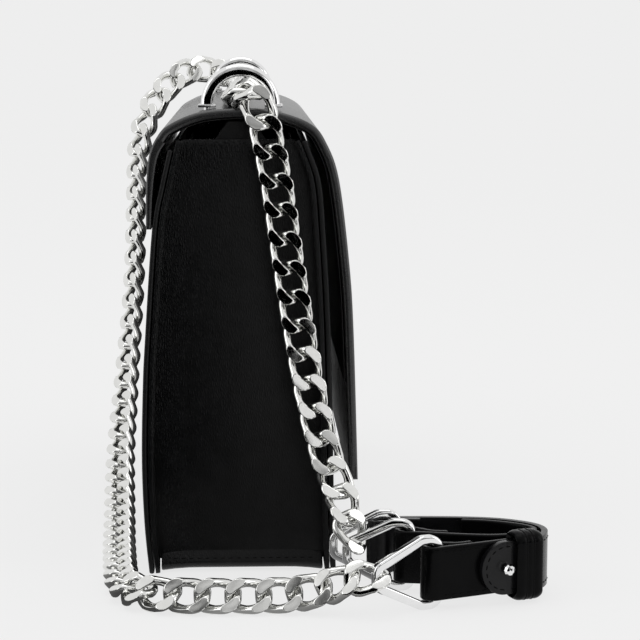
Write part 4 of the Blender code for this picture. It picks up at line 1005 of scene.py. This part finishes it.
def stepAlong(line, index, place, reach):
    # the next place on the line that is the reach away from the given one
    while (line[index + 1] - place).length < reach:
        index += 1
        if index + 1 >= len(line):
            return line[-1], index - 1
    low, high = 0.0, 1.0
    for attempt in range(chain["halvings"]):
        middle = (low + high) / 2
        if (line[index].lerp(line[index + 1], middle) - place).length < reach:
            low = middle
        else:
            high = middle
    return line[index].lerp(line[index + 1], high), index


def linkEnds(line, pitch, count, breaks):
    # where each link starts and ends, with a little slack between two runs
    joint, index, pairs = line[0], 0, []
    for number in range(count):
        after, index = stepAlong(line, index, joint, pitch)
        pairs.append((joint, after, index))
        back = chain["slack"] if number + 1 in breaks else 0
        joint = after - (after - joint).normalized() * back
    return pairs


def linkPlaces(line, faces, count, breaks):
    # the pitch that makes the links fill the line, and a matrix for each link
    lengths = lengthsAlong(line)
    even = lengths[-1] / count
    shortest, longest = even * (1 - chain["pitchPlay"]), even * (1 + chain["pitchPlay"])
    for attempt in range(chain["halvings"]):
        pitch = (shortest + longest) / 2
        start, after, index = linkEnds(line, pitch, count, breaks)[-1]
        if lengths[index] + (after - line[index]).length < lengths[-1] - bag["gap"]:
            shortest = pitch
        else:
            longest = pitch
    matrices = []
    for start, after, index in linkEnds(line, shortest, count, breaks):
        along = (after - start).normalized()
        middle = (after + start) / 2
        nearest = min(range(max(index - 3 * chain["steps"], 0), index + 1),
                      key=lambda at: (line[at] - middle).length)
        face = faces[nearest]
        face = (face - along * face.dot(along)).normalized()
        matrices.append(placed(middle, along, face.cross(along), face))
    return shortest, matrices


def runEnds(line, count):
    # numbers of the links after which the side, top and back runs end
    lengths = lengthsAlong(line)
    row, ends = 1, []
    for table in (sideRoute, topRoute, backRoute):
        row += len(table)
        ends.append(round(count * lengths[row * chain["steps"] + chain["steps"] // 2] / lengths[-1]))
    return ends


def hookedLink(hook, arm, away):
    # a link hooked on a ring's arm: its near end, its far end and the way its face looks
    away = (away - arm * away.dot(arm)).normalized()
    side = arm.cross(away)
    if side.y > 0:
        side = -side
    inside = chain["pitch"] / 2 - ring["wire"] / 2 - chain["hookGap"]
    nearEnd = hook + away * (inside - chain["pitch"] / 2)
    return nearEnd, nearEnd + away * chain["pitch"], (arm + side).normalized()


def linkMesh(pitch):
    # one curb link: a twisted loop of round wire, both faces ground flat
    slimWire = chain["wire"] * chain["slim"]
    halfLong, halfWide = (pitch + slimWire) / 2, (chain["width"] - slimWire) / 2
    halfThick = chain["thickness"] / 2
    turns = [2 * math.pi * (step + 0.5) / chain["around"] for step in range(chain["around"])]
    places = []
    for turn in turns:
        x, y = (math.copysign(abs(share) ** chain["squareness"], share)
                for share in (math.cos(turn), math.sin(turn)))
        places.append((halfLong * x, halfWide * y, -2 * chain["lift"] * x * y))
    curve = bpy.data.curves.new("linkPath", "CURVE")
    curve.dimensions = "3D"
    curve.bevel_depth = chain["wire"] / 2
    curve.bevel_resolution = 4
    for point, turn in zip(closedSpline(curve, places).points, turns):
        # the wire swells where it will be ground flat
        swell = min(abs(math.sin(2 * turn)) * chain["swellBy"], 1)
        point.radius = chain["slim"] + (1 - chain["slim"]) * swell
    bm = curveToMesh(curve)
    for side in (-1, 1):
        cut = bmesh.ops.bisect_plane(bm, geom=bm.verts[:] + bm.edges[:] + bm.faces[:],
                                     plane_co=(0, 0, side * halfThick), plane_no=(0, 0, side),
                                     clear_outer=True)
        bmesh.ops.holes_fill(bm, edges=[e for e in cut["geom_cut"] if isinstance(e, bmesh.types.BMEdge)])
    bmesh.ops.recalc_face_normals(bm, faces=bm.faces)
    rims = [e for e in bm.edges if e.is_manifold and e.calc_face_angle() > math.radians(chain["rimAngle"])
            and all(abs(abs(v.co.z) - halfThick) < 1e-6 for v in e.verts)]
    bmesh.ops.bevel(bm, geom=rims, offset=chain["rim"], segments=2, affect="EDGES", profile=0.5, material=-1)
    # the ground faces are marked, and bow out a little
    ground = bm.faces.layers.int.new("ground")
    for face in [f for f in bm.faces if len(f.verts) > chain["flatSides"]]:
        face[ground] = 1
        outward = face.normal.copy()
        centre = bmesh.ops.poke(bm, faces=[face])["verts"]
        bmesh.ops.translate(bm, verts=centre, vec=outward * chain["bow"])
    mesh = bpy.data.meshes.new("link")
    bm.to_mesh(mesh)
    bm.free()
    return mesh


def keepFlats(piece):
    # ground faces stay crisp up to their rims
    ground = piece.data.attributes["ground"].data
    kinds = {}
    for face in piece.data.polygons:
        for loop in face.loop_indices:
            kinds.setdefault(piece.data.loops[loop].edge_index, set()).add(ground[face.index].value)
    for edge, found in kinds.items():
        if len(found) > 1:
            piece.data.edges[edge].use_edge_sharp = True


# the first of these places goes with the flap and the second with the bag; a run given them is only baked
# where it lies and attached to no body, and nothing here makes it follow the flap as it opens
sideBend = ((0.010, -0.127, 0.168), (0.043, -0.137, 0.060))
backBend = ((0.0, 0.0, 0.190), (-0.058, 0.0, 0.140))


def buildChain(frameA, frameB):
    low = Vector((0, ring["apex"] / 2, 0))
    high = Vector((ring["length"] - ring["shoulder"], ring["height"] / 2, 0))
    arm = (frameB.to_3x3() @ (high - low)).normalized()
    startLink = hookedLink(frameB @ (low + (high - low) * chain["hookAt"]), arm,
                           Vector((chain["hookLean"], 0, 1)))
    endLink = hookedLink(frameA.translation, up, Vector((-1, 0, 0)))
    rows = sideRoute + topRoute + backRoute + frontRoute
    places = [*startLink[:2], *(Vector(row[:3]) * routeScale for row in rows), endLink[1], endLink[0]]
    faces = [startLink[2]] * 2 + [Vector(row[3:]) for row in rows] + [endLink[2]] * 2
    line, faces = smoothLine(places, chain["steps"]), smoothLine(faces, chain["steps"])
    count = round(lengthsAlong(line)[-1] / chain["pitch"])
    breaks = runEnds(line, count)
    pitch, matrices = linkPlaces(line, faces, count, breaks)
    link = linkMesh(pitch)
    spot = [matrix.translation.copy() for matrix in matrices]
    foot = chain["foot"]
    # each run: piece, node, first and last link, the bodies that it joins, and where it bends
    runs = (
        ("sideChainFoot", "chain_side_run", 0, foot, ("ring_b", "bag"), (spot[0], spot[foot])),
        ("sideChain", "chain_side_run", foot, breaks[0], ("flap", "bag"), sideBend),
        ("topChain", "chain_top_run", breaks[0], breaks[1], ("flap",), None),
        ("backChain", "chain_back_run", breaks[1], breaks[2], ("flap", "bag"), backBend),
        ("frontChain", "chain_front_run", breaks[2], count, ("ring_a", "bag"), (spot[-1], spot[-1 - foot])),
    )
    for name, node, start, end, bodies, bend in runs:
        bm = bmesh.new()
        for matrix in matrices[start:end]:
            before = len(bm.verts)
            bm.from_mesh(link)
            bm.verts.ensure_lookup_table()
            bmesh.ops.transform(bm, matrix=matrix, verts=bm.verts[before:])
        piece = toObject(name, bm, steelFinish, metalCrease)
        keepFlats(piece)
        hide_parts(node)
        if bend:
            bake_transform(piece)
        else:
            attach(piece, bodies[0])
    print("chain of", count, "links, pitch", round(pitch * 1000, 3), "mm")


buildPanels()
buildGussets()
buildBase()
buildLining()
buildTabs()
buildFlap()
print("bag shell ready")
buildHoops()
barA, barB, barC = buildStrap()
frameA = buildRing("ringFront", "ring_a", barA)
frameB = buildRing("ringMiddle", "ring_b", barB)
buildRing("ringFar", "ring_c", barC)
print("hoops, strap and rings ready")
buildChain(frameA, frameB)

# pieces that keep their own solid get a finish
keptSolids = {"base_board": fibreBoard, "snap_socket": hoopFinish, "snap_stud": hoopFinish,
              "strap_stud": hoopFinish, "hoop_screw_near_back": hoopFinish,
              "hoop_screw_near_front": hoopFinish, "hoop_screw_far_back": hoopFinish,
              "hoop_screw_far_front": hoopFinish}
for node, finish in keptSolids.items():
    for slot in bpy.data.objects[node].material_slots:
        slot.material = finish

# floor and background; the floor shows a share of its own shade, and the rest is plain
stage = {"pale": 0.855, "floorShade": 0.12, "floorSize": 6.0, "floorDrop": 0.0002}


def buildStage():
    material, tree, shader = newMaterial("paleFloor")
    tree.nodes.remove(shader)
    mix = tree.nodes.new("ShaderNodeMixShader")
    tree.links.new(mathNode(tree, "MULTIPLY", seenDirectly(tree), 1 - stage["floorShade"]), mix.inputs["Fac"])
    for index, kind in ((1, "ShaderNodeBsdfDiffuse"), (2, "ShaderNodeEmission")):
        look = tree.nodes.new(kind)
        look.inputs["Color"].default_value = (stage["pale"],) * 3 + (1,)
        tree.links.new(look.outputs[0], mix.inputs[index])
    tree.links.new(mix.outputs[0], tree.nodes["Material Output"].inputs["Surface"])
    bm = flatCard(stage["floorSize"], stage["floorSize"])
    bmesh.ops.translate(bm, verts=bm.verts, vec=(0, 0, -stage["floorDrop"]))
    toObject("paleFloor", bm, material, 0)


# cards that only glossy faces mirror: middle, size, turn about X and brightness
cards = {
    "flagBehindLeft": ((-0.56, -1.30, 0.17), (1.48, 0.34), 90, 0.0),
    "flagBehindRight": ((0.98, -1.30, 0.17), (1.08, 0.34), 90, 0.0),
    "flagFloorLeft": ((-0.45, -0.97, 0.002), (1.20, 0.64), 0, 0.0),
    "flagFloorRight": ((0.79, -0.97, 0.002), (0.80, 0.64), 0, 0.0),
    "flagFloorNear": ((-0.30, -0.42, 0.002), (0.70, 0.46), 0, 0.0),
    "greyStrip": ((-0.30, -0.16, 0.0004), (0.70, 0.06), 0, 0.22),
    "greyCard": ((0.0, -1.30, 0.80), (2.6, 0.92), 90, 0.33),
}
patches = {"scale": 9.0, "from": 0.35, "to": 0.65, "darkest": 0.3, "brightest": 2.1}


def buildCards():
    for name, (place, size, tilt, bright) in cards.items():
        material, tree, shader = newMaterial(name)
        shader.inputs["Base Color"].default_value = (0.0, 0.0, 0.0, 1)
        shader.inputs["Specular IOR Level"].default_value = 0.0
        if bright:
            # uneven patches of grey
            noise = noiseNode(tree, objectCoords(tree), patches["scale"], 2.0)
            grey = mapRange(tree, noise, patches["from"], patches["to"],
                            bright * patches["darkest"], bright * patches["brightest"])
            tree.links.new(grey, shader.inputs["Emission Color"])
            shader.inputs["Emission Strength"].default_value = 1.0
        bm = flatCard(*size)
        bmesh.ops.rotate(bm, verts=bm.verts, cent=(0, 0, 0),
                         matrix=Matrix.Rotation(math.radians(tilt), 3, "X"))
        bmesh.ops.translate(bm, verts=bm.verts, vec=place)
        card = toObject(name, bm, material, 0)
        card.visible_camera = False
        card.visible_diffuse = False
        card.visible_shadow = False
        card.visible_transmission = False


# soft lamps: place, target, size and watts
lamps = {
    "topSoft": ((0.0, 0.0, 1.3), (0, 0, 0.1), (0.9, 0.9), 2.6),
    "leftSoft": ((-1.2, -0.5, 0.6), (0, 0, 0.1), (0.5, 0.9), 1.8),
    "rightSoft": ((1.2, -0.4, 0.5), (0, 0, 0.1), (0.5, 0.9), 1.8),
    "frontSoft": ((0.55, -1.15, 0.50), (0, -0.12, 0.14), (0.30, 0.30), 0.35),
}


def addLooking(name, data, place, direction):
    # a lamp or camera at a place, turned to look along a direction
    thing = bpy.data.objects.new(name, data)
    scene.collection.objects.link(thing)
    thing.location = place
    thing.rotation_euler = direction.to_track_quat("-Z", "Y").to_euler()
    return thing


def buildLight():
    world = bpy.data.worlds.new("studio")
    scene.world = world
    world.use_nodes = True
    tree = world.node_tree
    ground = tree.nodes["Background"]
    ground.inputs["Color"].default_value = (1, 1, 1, 1)
    tree.links.new(mapRange(tree, seenDirectly(tree), 0, 1, 1.0, stage["pale"]), ground.inputs["Strength"])
    for name, (place, target, size, power) in lamps.items():
        data = bpy.data.lights.new(name, "AREA")
        data.shape = "RECTANGLE"
        data.size, data.size_y = size
        data.energy = power
        addLooking(name, data, place, Vector(target) - Vector(place))


view = {"place": (0.001354, -0.878166, 0.209585), "yaw": 2.188, "pitch": 8.273, "lens": 111.5}


def buildCamera():
    data = bpy.data.cameras.new("photoView")
    data.lens = view["lens"]
    data.sensor_width = 36
    data.clip_start = 0.01
    yaw, pitch = math.radians(view["yaw"]), math.radians(view["pitch"])
    ahead = Vector((math.sin(yaw) * math.cos(pitch), math.cos(yaw) * math.cos(pitch), -math.sin(pitch)))
    scene.camera = addLooking("photoView", data, view["place"], ahead)


buildStage()
buildCards()
buildLight()
buildCamera()
print("stage, lights and camera ready")
